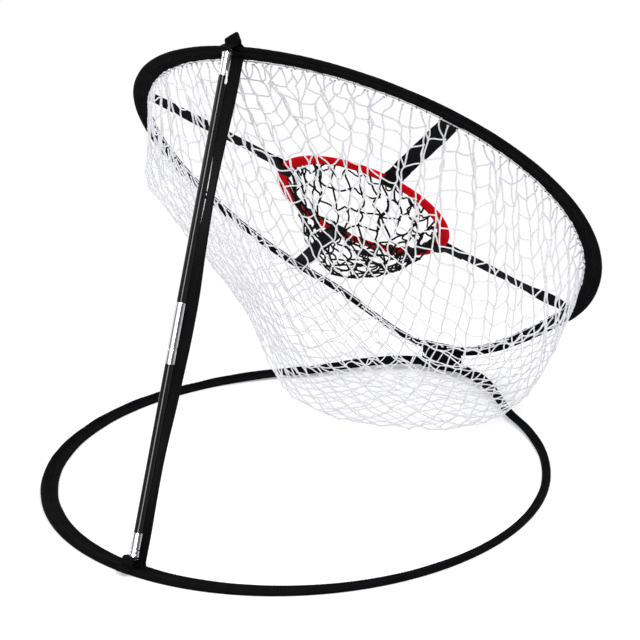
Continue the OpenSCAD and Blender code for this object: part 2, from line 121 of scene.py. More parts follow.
class Finish:
    """A procedural material with one Principled shader, built up by short calls."""

    def __init__(self, name, roughness, metallic=0.0, sheen=0.0, coat=0.0, coat_roughness=0.1, specular=0.5):
        self.material = bpy.data.materials.new(name)
        self.material.use_nodes = True
        self.tree = self.material.node_tree
        self.shader = self.tree.nodes["Principled BSDF"].inputs
        values = {"Roughness": roughness, "Metallic": metallic, "Sheen Weight": sheen, "Sheen Roughness": 0.5,
                  "Coat Weight": coat, "Coat Roughness": coat_roughness, "Specular IOR Level": specular}
        for socket, value in values.items():
            self.shader[socket].default_value = value
        self.place = add_node(self.tree, "TexCoord").outputs

    def noise(self, scale, detail=3.0):
        inputs = [("Scale", scale), ("Detail", detail), ("Vector", self.place["Object"])]
        return add_node(self.tree, "TexNoise", inputs).outputs["Fac"]

    def wave(self, period, direction="X", distortion=0.0, output="UV"):
        inputs = [("Scale", WAVE_PERIOD / period), ("Distortion", distortion), ("Detail Scale", 2.0),
                  ("Vector", self.place[output])]
        return add_node(self.tree, "TexWave", inputs, bands_direction=direction).outputs["Fac"]

    def combine(self, operation, a, b):
        return add_node(self.tree, "Math", [(0, a), (1, b)], operation=operation).outputs["Value"]

    def between(self, *values):
        return add_ramp(self.tree, *values)

    def colour(self, source):
        self.tree.links.new(source, self.shader["Base Color"])

    def rough(self, source):
        self.tree.links.new(source, self.shader["Roughness"])

    def bump(self, height, depth, strength):
        inputs = [("Distance", depth), ("Strength", strength), ("Height", height)]
        previous = self.shader["Normal"].links
        if previous:
            inputs.append(("Normal", previous[0].from_socket))
        node = add_node(self.tree, "Bump", inputs)
        self.tree.links.new(node.outputs["Normal"], self.shader["Normal"])


def woven(name, low, high, roughness, thread=0.0007, output="UV", across="Y"):
    """Plain woven cloth: two sets of threads and soft blotches."""
    f = Finish(name, roughness, specular=0.02)
    threads = f.combine("MAXIMUM", f.wave(thread, "X", 1.5, output), f.wave(thread, across, 1.5, output))
    blotch = f.noise(55, 4)
    f.colour(f.between(blotch, low, high, 0.3, 0.7))
    f.bump(threads, 0.00012, 0.6)
    f.bump(blotch, 0.0006, 0.5)
    return f.material


def webbing_finish(name, low, high):
    """Flat webbing: fine ribs across, packed threads along."""
    f = Finish(name, 0.6, specular=0.03)
    ribs = f.wave(0.0015, "X", 0.6)
    threads = f.wave(0.0008, "Y", 0.8)
    height = f.combine("ADD", ribs, f.combine("MULTIPLY", threads, 0.6))
    f.colour(f.between(f.combine("MULTIPLY", ribs, f.noise(70)), low, high, 0.1, 0.6))
    f.bump(height, 0.00025, 0.8)
    return f.material


def cord_finish(name, low, high, sheen=0.0, specular=0.04):
    """Twisted cord: strands that run slantwise round it."""
    f = Finish(name, 0.6, sheen=sheen, specular=specular)
    slant = f.wave(0.0022, "DIAGONAL", 0.4)
    f.colour(f.between(f.combine("MULTIPLY", slant, f.noise(140)), low, high, 0.0, 0.6))
    f.bump(slant, 0.00025, 0.7)
    return f.material


def painted_reflection_metal(name, low, high, roughness):
    """Metal with painted reflection: light and dark streaks along it, set by the direction each face points, and
    slight smudges.
    """
    f = Finish(name, roughness, metallic=1.0)
    # Painted reflection: colour bands by face direction stand in for the surroundings mirrored in the metal
    painted_reflection_bands = f.wave(0.85, "X", 0.5, "Normal")
    smudge = f.noise(160, 2)
    f.colour(f.between(f.combine("MULTIPLY", painted_reflection_bands, f.combine("ADD", smudge, 0.5)), low, high, 0.02, 0.5))
    f.rough(f.between(smudge, roughness * 0.85, roughness * 1.2, 0.3, 0.75))
    return f.material


def rod_finish():
    f = Finish("rod_lacquer", 0.16, coat=0.05, coat_roughness=0.08, specular=0.12)
    orange_peel = f.noise(420, 3)
    f.colour(f.between(f.noise(60), (0.0010, 0.0010, 0.0013), (0.0022, 0.0022, 0.0026), 0.3, 0.7))
    f.rough(f.between(orange_peel, 0.14, 0.18, 0.3, 0.7))
    f.bump(orange_peel, 0.00001, 0.2)
    return f.material


def plastic_finish(name, low, high, roughness):
    f = Finish(name, roughness)
    f.colour(f.between(f.noise(90), low, high, 0.3, 0.7))
    f.bump(f.noise(900, 2), 0.00003, 0.5)
    return f.material


SLEEVE = woven("sleeve_cloth", (0.0014, 0.0014, 0.0017), (0.0042, 0.0042, 0.0048), 0.78)
SOFT_BLACK = woven("tab_cloth", (0.0014, 0.0014, 0.0017), (0.0040, 0.0040, 0.0046), 0.7, 0.0009, "Object", "Z")
RED_CLOTH = woven("red_cloth", (0.53, 0.0012, 0.0045), (0.68, 0.0030, 0.0080), 0.7)
WEBBING = webbing_finish("black_webbing", (0.0013, 0.0013, 0.0016), (0.0048, 0.0048, 0.0055))
THREAD = cord_finish("black_thread", (0.004, 0.004, 0.0045), (0.01, 0.01, 0.011))
RED_THREAD = cord_finish("red_thread", (0.45, 0.0012, 0.004), (0.62, 0.004, 0.009))
WHITE_CORD = cord_finish("white_cord", (0.85, 0.85, 0.875), (0.93, 0.93, 0.945), 0.1, 0.1)
BLACK_CORD = cord_finish("black_cord", (0.0016, 0.0016, 0.0019), (0.0050, 0.0050, 0.0057))
ELASTIC = cord_finish("elastic_cord", (0.008, 0.008, 0.008), (0.02, 0.02, 0.02))
ROD = rod_finish()
# The metal parts below carry painted reflection streaks in their colour, along with slight smudges
FERRULE = painted_reflection_metal("ferrule_metal", (0.10, 0.10, 0.11), (0.80, 0.80, 0.82), 0.17)
EYELET = painted_reflection_metal("eyelet_plate", (0.45, 0.45, 0.47), (0.93, 0.93, 0.94), 0.12)
CRIMP = painted_reflection_metal("crimp_metal", (0.4, 0.4, 0.42), (0.8, 0.81, 0.83), 0.3)
SPRING = painted_reflection_metal("spring_steel", (0.3, 0.3, 0.31), (0.62, 0.63, 0.65), 0.3)
STOP = plastic_finish("cord_stop_plastic", (0.015, 0.015, 0.016), (0.03, 0.03, 0.032), 0.45)

NODE_FINISH = [(SPRING, "base_spring_hoop upper_spring_hoop target_wire"),
               (CRIMP, "base_hoop_crimp upper_hoop_crimp target_crimp"),
               (ROD, "lower_rod upper_rod"), (FERRULE, "centre_ferrule foot_tip head_tip"),
               (EYELET, "foot_eyelet foot_eyelet_washer head_eyelet head_eyelet_washer"),
               (ELASTIC, "shock_cord"), (STOP, "cord_stop_lower cord_stop_upper")]


def finish_nodes():
    for material, nodes in NODE_FINISH:
        for node in nodes.split():
            for material_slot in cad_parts[node].material_slots:
                material_slot.material = material


# ---- Meshes ----

def add_piece(name, shape, material):
    """A new mesh object from points in millimetres, faces, and a pair of metres for each face corner."""
    points, faces, uv = shape
    mesh = bpy.data.meshes.new(name)
    mesh.from_pydata((np.asarray(points, float) * MM).tolist(), [], np.asarray(faces).tolist())
    mesh.uv_layers.new(name="cloth").data.foreach_set("uv", np.asarray(uv, np.float32).ravel())
    mesh.shade_smooth()
    mesh.materials.append(material)
    made = new_object(name, mesh)
    return made


def grid(rows, columns, wrap_rows, wrap_columns, row_step, column_step):
    """Quads over rows and columns of points, and each corner's place on the cloth in metres."""
    i, j = np.meshgrid(np.arange(rows if wrap_rows else rows - 1),
                       np.arange(columns if wrap_columns else columns - 1), indexing="ij")
    corners = [(i, j), (i, j + 1), (i + 1, j + 1), (i + 1, j)]
    faces = np.stack([(a % rows) * columns + b % columns for a, b in corners], -1).reshape(-1, 4)
    uv = np.stack([np.stack([a * row_step * MM, b * column_step * MM], -1) for a, b in corners], -2)
    return faces, uv.reshape(-1, 2)


def unit(v):
    return v / np.linalg.norm(v, axis=-1, keepdims=True)


def smooth_path(points, count, closed=False):
    """Catmull-Rom through the points, at equal steps of length."""
    p = np.asarray(points, float)
    ends = (p[-1:], p[:2]) if closed else (2 * p[:1] - p[1:2], 2 * p[-1:] - p[-2:-1])
    q = np.concatenate([ends[0], p, ends[1]])
    t = np.linspace(0, 1, 17)[:-1, None]
    out = []
    for a, b, c, d in zip(q[:-3], q[1:-2], q[2:-1], q[3:]):
        out.append(0.5 * (2 * b + (c - a) * t + (2 * a - 5 * b + 4 * c - d) * t ** 2
                          + (3 * b - a - 3 * c + d) * t ** 3))
    line = np.concatenate(out + [q[-2:-1]])
    length = np.concatenate([[0], np.cumsum(np.linalg.norm(np.diff(line, axis=0), axis=1))])
    wanted = np.linspace(0, length[-1], count + 1 if closed else count)
    even = np.stack([np.interp(wanted, length, line[:, k]) for k in range(line.shape[1])], -1)
    return even[:-1] if closed else even


def cords(paths, away, radius, sides=6):
    """Tubes along many paths of equal length. away is a direction off each path, for its sections."""
    n, k, _ = paths.shape
    along = unit(np.gradient(paths, axis=1))
    across = unit(np.cross(along, away[:, None, :]))
    up = np.cross(across, along)
    angle = np.arange(sides) * 2 * math.pi / sides
    r = np.asarray(radius, float).reshape(-1, 1, 1, 1) if np.ndim(radius) else radius
    points = (paths[:, :, None, :] + r * (np.cos(angle)[:, None] * across[:, :, None, :]
                                          + np.sin(angle)[:, None] * up[:, :, None, :]))
    span = float(np.mean(np.linalg.norm(np.diff(paths, axis=1), axis=2)))
    faces, uv = grid(k, sides, False, True, span, 2 * math.pi * float(np.mean(radius)) / sides)
    offsets = (np.arange(n) * k * sides)[:, None, None]
    return points.reshape(-1, 3), (faces[None] + offsets).reshape(-1, 4), np.tile(uv, (n, 1))


def joined(parts):
    """Several (points, faces, uv) as one. All their faces have the same number of corners."""
    points, faces, uvs, count = [], [], [], 0
    for p, f, uv in parts:
        points.append(p)
        faces.append(f + count)
        uvs.append(uv)
        count += len(p)
    return np.concatenate(points), np.concatenate(faces), np.concatenate(uvs)


def blobs(centres, size, squash=0.75, spread=0.25):
    """Small lumpy knots: a rounded cube each, turned at random."""
    side = np.array([(x, y, z) for x in (-1, 0, 1) for y in (-1, 0, 1) for z in (-1, 0, 1)
                     if max(abs(x), abs(y), abs(z)) == 1], float)
    faces = []
    index = {tuple(p): i for i, p in enumerate(side.astype(int).tolist())}
    for axis in range(3):
        u, v = [k for k in range(3) if k != axis]
        for end, i, j in itertools.product((-1, 1), (-1, 0), (-1, 0)):
            corner = []
            for di, dj in ((0, 0), (1, 0), (1, 1), (0, 1)):
                p = [0, 0, 0]
                p[axis], p[u], p[v] = end, i + di, j + dj
                corner.append(index[tuple(p)])
            faces.append(corner[::-1] if (end == 1) == (axis == 1) else corner)
    ball = unit(side)
    n = len(centres)
    grow = size * (1 + spread * (chance.random((n, len(ball), 1)) - 0.5))
    turn = unit(chance.normal(size=(n, 4)))
    w, x, y, z = turn.T
    spin = np.stack([1 - 2 * (y * y + z * z), 2 * (x * y - w * z), 2 * (x * z + w * y),
                     2 * (x * y + w * z), 1 - 2 * (x * x + z * z), 2 * (y * z - w * x),
                     2 * (x * z - w * y), 2 * (y * z + w * x), 1 - 2 * (x * x + y * y)], -1).reshape(n, 3, 3)
    shape = ball[None] * grow * np.array([1, 1, squash])
    points = centres[:, None, :] + np.einsum("nij,nkj->nki", spin, shape)
    faces = np.array(faces)[None] + (np.arange(n) * len(ball))[:, None, None]
    uv = np.tile(np.array([[0, 0], [1, 0], [1, 1], [0, 1]]) * size * MM, (faces.shape[0] * faces.shape[1], 1))
    return points.reshape(-1, 3), faces.reshape(-1, 4), uv


def waves(x, terms, seed, scale=1.0):
    """A smooth irregular curve round a closed line: sines of whole numbers of turns. x is in turns."""
    mixed = np.random.default_rng(seed)
    total = np.zeros_like(x)
    for turns in terms:
        total = total + mixed.normal() * np.sin(2 * math.pi * (turns * x + mixed.random()))
    return scale * total / math.sqrt(len(terms))


# ---- Hoops, as in the solids ----

BASE_R, BASE_NOSE, BASE_NOSE_ANGLE, BASE_LIFT, BASE_LIFT_ANGLE = 246, 52, 35, 8, 65
UPPER_R, UPPER_OVAL, UPPER_WARP, UPPER_DIP, UPPER_DIP_ANGLE = 252, 13, 7.5, 31, 38
LEAN, HOOP_GAP = math.radians(44), 17
SLEEVE_W, SLEEVE_T, HEM_T, WIRE_OUT = 17, 5, 2, 5.7
HALF_W, HALF_T = SLEEVE_W / 2, SLEEVE_T / 2
BASE_Y = -BASE_R
HINGE_Y = BASE_Y - BASE_R - BASE_NOSE
HINGE_Z = HALF_T + BASE_LIFT + HOOP_GAP
UPPER_FRONT = UPPER_R + UPPER_OVAL
UPPER_LOW = UPPER_WARP + UPPER_DIP
FRAME_STEP = 5
GAP = 0.3
X_AXIS = np.array([1.0, 0, 0])


def sine(a):
    return np.sin(np.radians(a))


def cosine(a):
    return np.cos(np.radians(a))


def hump(a, width):
    """1 at angle 0, smoothly down to nothing from the angle width on."""
    d = np.abs((a + 540) % 360 - 180)
    return np.where(d < width, (1 + cosine(180 * d / width)) / 2, 0)


def base_point(a):
    r = BASE_R + BASE_NOSE * hump(a, BASE_NOSE_ANGLE)
    return np.stack([r * sine(a), BASE_Y - r * cosine(a), HALF_T + BASE_LIFT * hump(a, BASE_LIFT_ANGLE)], -1)


def upper_radius(a):
    return UPPER_R + UPPER_OVAL * cosine(2 * a)


def upper_point(a):
    """A point of the upper hoop's midline, in the upper hoop's own frame."""
    height = UPPER_LOW - UPPER_WARP * cosine(2 * a) - UPPER_DIP * hump(a, UPPER_DIP_ANGLE)
    return np.stack([upper_radius(a) * sine(a), UPPER_FRONT - upper_radius(a) * cosine(a), height], -1)


def from_hoop(p):
    y, z = p[..., 1], p[..., 2]
    return np.stack([p[..., 0], HINGE_Y + y * math.cos(LEAN) - z * math.sin(LEAN),
                     HINGE_Z + y * math.sin(LEAN) + z * math.cos(LEAN)], -1)


def as_is(p):
    return p


def directions(path, a):
    """Along the hoop, outwards across it and up from it, in the hoop's own frame."""
    along = unit(path(a + FRAME_STEP) - path(a - FRAME_STEP))
    out = unit(np.cross(along, [0.0, 0.0, 1.0]))
    return along, out, np.cross(out, along)


def on_hoop_edge(path, place, a, out, up):
    """Points beside a hoop's midline: out millimetres outwards and up millimetres up, in the part's frame."""
    _, u, v = directions(path, a)
    return place(path(a) + u * np.asarray(out)[..., None] + v * np.asarray(up)[..., None])


# ---- Sleeves ----

SLEEVE_STEPS, SLEEVE_GIRTH = 720, 36
LASH_COUNT, LASH_R = 118, 0.28
CLOTH_ACROSS = [-8.5, -8.3, -7.6, -6.6, -5.2, -3.6, -2.0, -0.6, 0.6, 1.7, 2.9, 4.2, 5.7, 7.0, 7.9, 8.35]
SEAM_OUT, HEM_SEAM_OUT = 1.2, -6.9
BASE_SEAM_LENGTH, UPPER_SEAM_LENGTH = 1590, 1600


def bead(u):
    """Half thickness of a sleeve, across it: a flat hem and a round bead over the wire."""
    rise = np.clip((u - 0.3) / (WIRE_OUT - 1.0 - 0.3), 0, 1)
    hem = HEM_T / 2 + 0.5 * np.clip((u + 1) / 4, 0, 1)
    over = HALF_T * np.sqrt(np.clip(1 - ((u - WIRE_OUT) / 3.1) ** 2, 0, 1))
    shape = hem + (HALF_T * 0.97 - hem) * (3 * rise ** 2 - 2 * rise ** 3)
    edge = np.sqrt(np.clip(1 - ((-HALF_W + 0.8 - u) / 0.85) ** 2, 0, 1))
    over_wire = np.where(u > WIRE_OUT - 0.6, np.minimum(shape, over + 0.05), shape)
    return over_wire * np.where(u < -HALF_W + 0.8, edge, 1)


def drawn_in(a):
    """Share by which the base sleeve's hem is bunched towards its wire, most on the side towards -X."""
    rise = np.clip((a - 178) / 100, 0, 1)
    fall = np.clip((352 - a) / 14, 0, 1)
    return 0.5 * rise ** 2 * (3 - 2 * rise) * fall ** 2 * (3 - 2 * fall)


def tube_piece(name, rows, radius, girth, material):
    """A closed tube of cloth round a ring, from the rows of points that run along it."""
    points = np.stack(rows, 1)
    steps, columns = points.shape[:2]
    faces, uv = grid(steps, columns, True, True, 2 * math.pi * radius / steps, girth / columns)
    return add_piece(name, (points.reshape(-1, 3), faces, uv), material)


def sleeve(name, path, place, flat_under, seed, scallop=0.0):
    """A sewn fabric tube round a hoop's wire, with puckers at its seam and creases along it."""
    x = np.arange(SLEEVE_STEPS) / SLEEVE_STEPS
    a = 360 * x
    bunch = drawn_in(a) if flat_under else 0 * a
    across = np.array(CLOTH_ACROSS)
    rows = []
    for side in (1, -1):
        for k, u in enumerate(across if side == 1 else across[::-1]):
            seam = math.exp(-((u - SEAM_OUT) / 1.6) ** 2)
            hem = math.exp(-((u + HALF_W) / 2.2) ** 2)
            middle = math.exp(-((u + 3.4) / 2.0) ** 2)
            pucker = waves(x, [211, 263, 307, 181], seed + 3, 0.16) * (0.35 + seam)
            crease = waves(x, [5, 9, 14, 23], seed + 9, 0.30) * middle + waves(x, [31, 47, 74], seed + k, 0.07)
            swell = waves(x, [11, 17, 29, 41], seed + 5, 0.14)
            thick = bead(u) * (1 + swell / HALF_T) - 0.22 * seam
            wavy_edge = waves(x, [13, 22, 37, 58, 83], seed + 13, 0.12 if flat_under else 0.34) * hem
            wavy_edge = wavy_edge + scallop * hem * (np.abs(np.sin(math.pi * LASH_COUNT * x)) - 0.5)
            if flat_under:
                top = 2 * thick - HALF_T
                up = top + pucker + crease if side == 1 else np.full_like(x, -HALF_T)
            else:
                up = side * thick + pucker * side + crease
            rows.append(on_hoop_edge(path, place, a, u + wavy_edge - bunch * (u - WIRE_OUT), up))
    return tube_piece(name, rows, UPPER_R, SLEEVE_GIRTH, SLEEVE)


STITCH_LENGTH, STITCH_PITCH, STITCH_R, BOX_PITCH = 2.3, 3.1, 0.24, 2.6


def stitches(name, lines, away, material, radius=STITCH_R):
    """Short raised threads. Each line holds a stitch's two ends; away is the cloth's outward direction."""
    start, end = lines
    t = np.array([0, 0.2, 0.5, 0.8, 1.0])[None, :, None]
    rise = np.array([-0.12, 0.1, 0.16, 0.1, -0.12])[None, :, None]
    paths = start[:, None] + (end - start)[:, None] * t + away[:, None] * rise
    return add_piece(name, cords(paths, away, radius, 5), material)


def hoop_stitches(name, path, place, seams, length):
    """Rows of stitches round a hoop. seams lists (out, up, side): side is 1 on top and -1 underneath."""
    count = int(length / STITCH_PITCH)
    a = np.arange(count) * 360 / count
    half = 180 * STITCH_LENGTH / length
    starts, ends, away = [], [], []
    for out, up, side in seams:
        across = out - (drawn_in(a) if path is base_point else 0 * a) * (out - WIRE_OUT)
        starts.append(on_hoop_edge(path, place, a - half, across, np.full(count, up)))
        ends.append(on_hoop_edge(path, place, a + half, across, np.full(count, up)))
        _, _, v = directions(path, a)
        away.append(side * unit(place(path(a) + v) - place(path(a))))
    lines = np.concatenate(starts), np.concatenate(ends)
    return stitches(name, lines, np.concatenate(away), THREAD)


def make_sleeves():
    base = sleeve("base_sleeve_cloth", base_point, as_is, True, 21)
    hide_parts("base_sleeve")
    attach(base, "base_hoop")
    upper = sleeve("upper_sleeve_cloth", upper_point, from_hoop, False, 57, -0.7)
    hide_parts("upper_sleeve")
    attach(upper, "upper_hoop")
    up = float(bead(np.array(SEAM_OUT)) - 0.2)
    seams = [(SEAM_OUT, 2 * up - HALF_T + 0.05, 1), (HEM_SEAM_OUT, HEM_T - HALF_T + 0.02, 1)]
    base_seam = hoop_stitches("base_seam", base_point, as_is, seams, BASE_SEAM_LENGTH)
    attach(base_seam, "base_hoop")
    seams = [(SEAM_OUT, up + 0.02, 1), (SEAM_OUT, -up - 0.02, -1),
             (HEM_SEAM_OUT, HEM_T / 2 + 0.02, 1), (HEM_SEAM_OUT, -HEM_T / 2 - 0.02, -1)]
    upper_seam = hoop_stitches("upper_seam", upper_point, from_hoop, seams, UPPER_SEAM_LENGTH)
    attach(upper_seam, "upper_hoop")


# ---- Netting ----

EDGE_CORD_R, EDGE_IN, EDGE_DOWN, WRAP_PASS = 1.2, HALF_W - 1, HEM_T / 2 + GAP + 1.2, 14
BAG_MIDDLE = np.array([8.125, HINGE_Y + 130, 7.0])
BAG_HALF_X, BAG_HALF_Y, BAG_FULLNESS, BAG_CORNER = 142, 90, 38, 2.2
# The loose side: the net bulges out just under the rim, and hangs flatter below that
SLACK, SLACK_ANGLE, SLACK_SPREAD, SLACK_ROW, SLACK_TAIL = 39.5, 133.3, 32.6, 0.0444, 4.12
LOOSE_ANGLE, LOOSE_SPREAD, LOOSE_FULL, LOOSE_X, LOOSE_Y = 111.4, 86.4, 1.59, 0.193, -0.022
CORNER_SHARE = 0.97
EDGE_SHOWN_R, EDGE_SHIFT = 0.6, 1.7
NET_CELLS, NET_TURN, NET_CENTRE = 20.5, math.radians(66), 0.25
NET_BAR, NET_OFF, NET_DRIFT, BAG_LOWEST = 15.0, 0.8, 0.9, 7.5
NET_CORD_R, NET_KNOT_R = 0.74, 1.4
EASE_ROUNDS = 60


def cord_in(a):
    return EDGE_IN + 6 * hump(a, WRAP_PASS)


def cord_down(a):
    return EDGE_DOWN - 1.5 * hump(a, WRAP_PASS)


def heading(a):
    return np.stack([sine(a), -cosine(a), np.zeros_like(a)], -1)


def hang(rim, corner, middle, side, full, s):
    """A hanging net's curve from a rim point, over a rounded corner, to the middle of its bottom."""
    p1 = rim + (corner - rim) * CORNER_SHARE + side
    p2 = middle + (corner - middle) * CORNER_SHARE
    a, b, c, d = (1 - s) ** 3, 3 * s * (1 - s) ** 2 * full, 3 * s * s * (1 - s) * full, s ** 3
    total = (a + b + c + d)[..., None]
    return (a[..., None] * rim + b[..., None] * p1 + c[..., None] * p2 + d[..., None] * middle) / total


def bag_point(a, s):
    rim = on_hoop_edge(upper_point, from_hoop, a, -cord_in(a) - EDGE_SHIFT, -cord_down(a) - EDGE_CORD_R)
    loose = hump(a - LOOSE_ANGLE, LOOSE_SPREAD)
    corner = BAG_MIDDLE + np.stack([BAG_HALF_X * (1 - LOOSE_X * loose) * sine(a),
                                    -BAG_HALF_Y * (1 - LOOSE_Y * loose) * cosine(a), np.zeros_like(a)], -1)
    side = np.stack([sine(a), -cosine(a) / 2, np.zeros_like(a)], -1)
    side = side * (BAG_FULLNESS * (1 - LOOSE_FULL * loose))[..., None]
    slack = SLACK * hump(a - SLACK_ANGLE, SLACK_SPREAD) * np.minimum(1, s / SLACK_ROW)
    slack = slack * np.maximum(0, 1 - np.maximum(0, s - SLACK_ROW) / (SLACK_TAIL * SLACK_ROW)) ** 2
    return hang(rim, corner, BAG_MIDDLE, side, BAG_CORNER, s) + heading(a) * slack[..., None]


class Drape:
    """A hanging net's surface, looked up by a place in the unit disc. The disc's rim is the net's rim."""

    def __init__(self, surface, centre=0.0, cells=200):
        a = np.arange(0, 361, 3.0)
        s = np.linspace(0, 1, 201)
        lines = surface(a[:, None] + 0 * s, 0 * a[:, None] + s)
        run = np.linalg.norm(np.diff(lines, axis=1), axis=2).cumsum(1)
        run = np.concatenate([np.zeros((len(a), 1)), run], 1)
        run = run / run[:, -1:]
        even = np.array([np.interp(s, line, s) for line in run])
        side = np.linspace(-1, 1, cells + 1)
        x, y = np.meshgrid(side, side, indexing="ij")
        w = x + 1j * y
        w = np.where(abs(w) > 1, w / np.maximum(abs(w), 1e-9), w)
        q = (w + 1j * centre) / (1 - 1j * centre * w)
        angle = np.degrees(np.arctan2(q.real, -q.imag)) % 360
        inward = np.clip(1 - abs(q), 0, 1)
        share = self._lookup(even[..., None], angle / 3.0, inward * 200)[..., 0]
        self.cells = cells
        self.points = surface(angle, share)
        step = 2.0 / cells
        self.slopes = np.stack(np.gradient(self.points, step, axis=(0, 1)), -1)

    @staticmethod
    def _lookup(table, i, j):
        i0 = np.clip(np.floor(i).astype(int), 0, table.shape[0] - 2)
        j0 = np.clip(np.floor(j).astype(int), 0, table.shape[1] - 2)
        extra = (1,) * (table.ndim - 2)
        f, g = (i - i0).reshape(i.shape + extra), (j - j0).reshape(j.shape + extra)
        return ((1 - f) * (1 - g) * table[i0, j0] + f * (1 - g) * table[i0 + 1, j0]
                + (1 - f) * g * table[i0, j0 + 1] + f * g * table[i0 + 1, j0 + 1])

    def _at(self, table, w):
        return self._lookup(table, (w.real + 1) / 2 * self.cells, (w.imag + 1) / 2 * self.cells)

    def place(self, w):
        return self._at(self.points, w)

    def slope(self, w):
        return self._at(self.slopes, w)

    def normal(self, w):
        """Outwards from the net's inside."""
        slope = self.slope(w)
        n = np.cross(slope[..., 0], slope[..., 1])
        return n / np.maximum(np.linalg.norm(n, axis=-1, keepdims=True), 1e-6)


def lattice(drape, cells, turn, bar, rounds):
    """A flat square net laid over the disc, then eased so that its bars come near their length.

    Returns the knots' places in the disc, the bars between knots, and the bars that end at the rim.
    """
    reach = int(cells) + 2
    i, j = np.meshgrid(np.arange(-reach, reach + 1), np.arange(-reach, reach + 1), indexing="ij")
    w = (i + 1j * j) * np.exp(1j * turn) / cells
    inside = abs(w) < 0.975
    number = np.full(w.shape, -1)
    number[inside] = np.arange(inside.sum())
    knots = w[inside]
    bars, ends, rim = [], [], []
    for di, dj in ((1, 0), (0, 1)):
        here, there = number[:-di or None, :-dj or None], number[di:, dj:]
        w0, w1 = w[:-di or None, :-dj or None], w[di:, dj:]
        both = (here >= 0) & (there >= 0)
        bars.append(np.stack([here[both], there[both]], -1))
        for one, other, start, stop in ((here, there, w0, w1), (there, here, w1, w0)):
            cut = (one >= 0) & (other < 0)
            a, d = start[cut], stop[cut] - start[cut]
            b = (a * d.conjugate()).real
            t = (-b + np.sqrt(b * b + abs(d) ** 2 * (1 - abs(a) ** 2))) / abs(d) ** 2
            ends.append(one[cut])
            rim.append(a + d * t)
    bars, ends, rim = np.concatenate(bars), np.concatenate(ends), np.concatenate(rim)
    rim_place = drape.place(rim)
    for _ in range(rounds):
        place = drape.place(knots)
        pull = np.zeros_like(place)
        for one, other in ((bars[:, 0], place[bars[:, 1]]), (bars[:, 1], place[bars[:, 0]]), (ends, rim_place)):
            d = other - place[one]
            length = np.linalg.norm(d, axis=1, keepdims=True)
            np.add.at(pull, one, d * (1 - bar / np.maximum(length, 1.0)) * 0.2)
        slope = drape.slope(knots)
        square = np.einsum("nki,nkj->nij", slope, slope) + np.eye(2) * 200
        move = np.linalg.solve(square, np.einsum("nki,nk->ni", slope, pull)[..., None])[..., 0]
        knots = knots + np.clip(move[:, 0], -0.02, 0.02) + 1j * np.clip(move[:, 1], -0.02, 0.02)
        knots = np.where(abs(knots) > 0.985, knots / abs(knots) * 0.985, knots)
    return knots, bars, ends, rim


def bowed(start, end, away, bow, wander, points=6):
    """Slack cords between pairs of points: a bow to one side and a smaller wave."""
    t = np.linspace(0, 1, points)[None, :, None]
    along = unit(end - start)
    aside = unit(np.cross(along, away))
    n = len(start)
    sideways = (chance.normal(0, bow, (n, 1, 1)) * aside[:, None]
                + chance.normal(0, bow * 0.6, (n, 1, 1)) * away[:, None])
    curl = chance.normal(0, wander, (n, 1, 1)) * aside[:, None]
    return (start[:, None] + (end - start)[:, None] * t + sideways * np.sin(math.pi * t)
            + curl * np.sin(2 * math.pi * t))


def loose_knots(drape, cells, turn, bar, rounds, off, drift, inset):
    """A net's knots on a drape, moved a little at random, and its bars as lattice gives them."""
    knots, bars, ends, rim = lattice(drape, cells, turn, bar, rounds)
    away = drape.normal(knots)
    places = drape.place(knots) + away * chance.normal(0, off, (len(knots), 1)) - away * inset
    aside = chance.normal(0, drift, places.shape)
    return places + aside - away * (aside * away).sum(1, keepdims=True), away, bars, ends, rim


def bar_cords(places, rim_places, away, bars, ends, radius, inner_slack, outer_slack):
    """Slack cords from knot to knot, and from the outer knots to the rim."""
    between = unit(away[bars[:, 0]] + away[bars[:, 1]])
    inner = bowed(places[bars[:, 0]], places[bars[:, 1]], between, *inner_slack)
    outer = bowed(places[ends], rim_places, away[ends], *outer_slack)
    return [cords(inner, away[bars[:, 0]], radius), cords(outer, away[ends], radius)]


def bag_pieces():
    drape = Drape(bag_point, NET_CENTRE)
    places, away, bars, ends, rim = loose_knots(drape, NET_CELLS, NET_TURN, NET_BAR, EASE_ROUNDS,
                                                NET_OFF, NET_DRIFT, NET_CORD_R)
    places[:, 2] = np.maximum(places[:, 2], BAG_LOWEST)
    rim_places = drape.place(rim)
    parts = bar_cords(places, rim_places, away, bars, ends, NET_CORD_R, (0.9, 0.4), (0.9, 0.7))
    return joined(parts + [blobs(places, NET_KNOT_R), blobs(rim_places, NET_KNOT_R * 0.9)])


def closed_tube(path, radius, sides, twist=0.0, lobe=0.0):
    """A tube round a closed path. lobe and twist shape it as laid strands."""
    n = len(path)
    along = unit(np.roll(path, -1, 0) - np.roll(path, 1, 0))
    across = unit(np.cross(along, [0.0, 0.0, 1.0]))
    up = np.cross(across, along)
    angle = np.arange(sides) * 2 * math.pi / sides
    wind = np.arange(n)[:, None] * twist
    r = radius * (1 + lobe * np.cos(3 * angle[None] + wind))[..., None]
    points = path[:, None] + r * (np.cos(angle)[None, :, None] * across[:, None]
                                  + np.sin(angle)[None, :, None] * up[:, None])
    span = float(np.mean(np.linalg.norm(np.roll(path, -1, 0) - path, axis=1)))
    faces, uv = grid(n, sides, True, True, span, 2 * math.pi * radius / sides)
    return points.reshape(-1, 3), faces, uv


def edge_cord_pieces():
    steps = 900
    a = np.arange(steps) * 0.4
    down = -cord_down(a) + EDGE_SHIFT - EDGE_SHOWN_R
    path = on_hoop_edge(upper_point, from_hoop, a, -cord_in(a) - EDGE_SHIFT, down)
    return closed_tube(path, EDGE_SHOWN_R, 9, twist=2 * math.pi * 180 / steps, lobe=0.12)


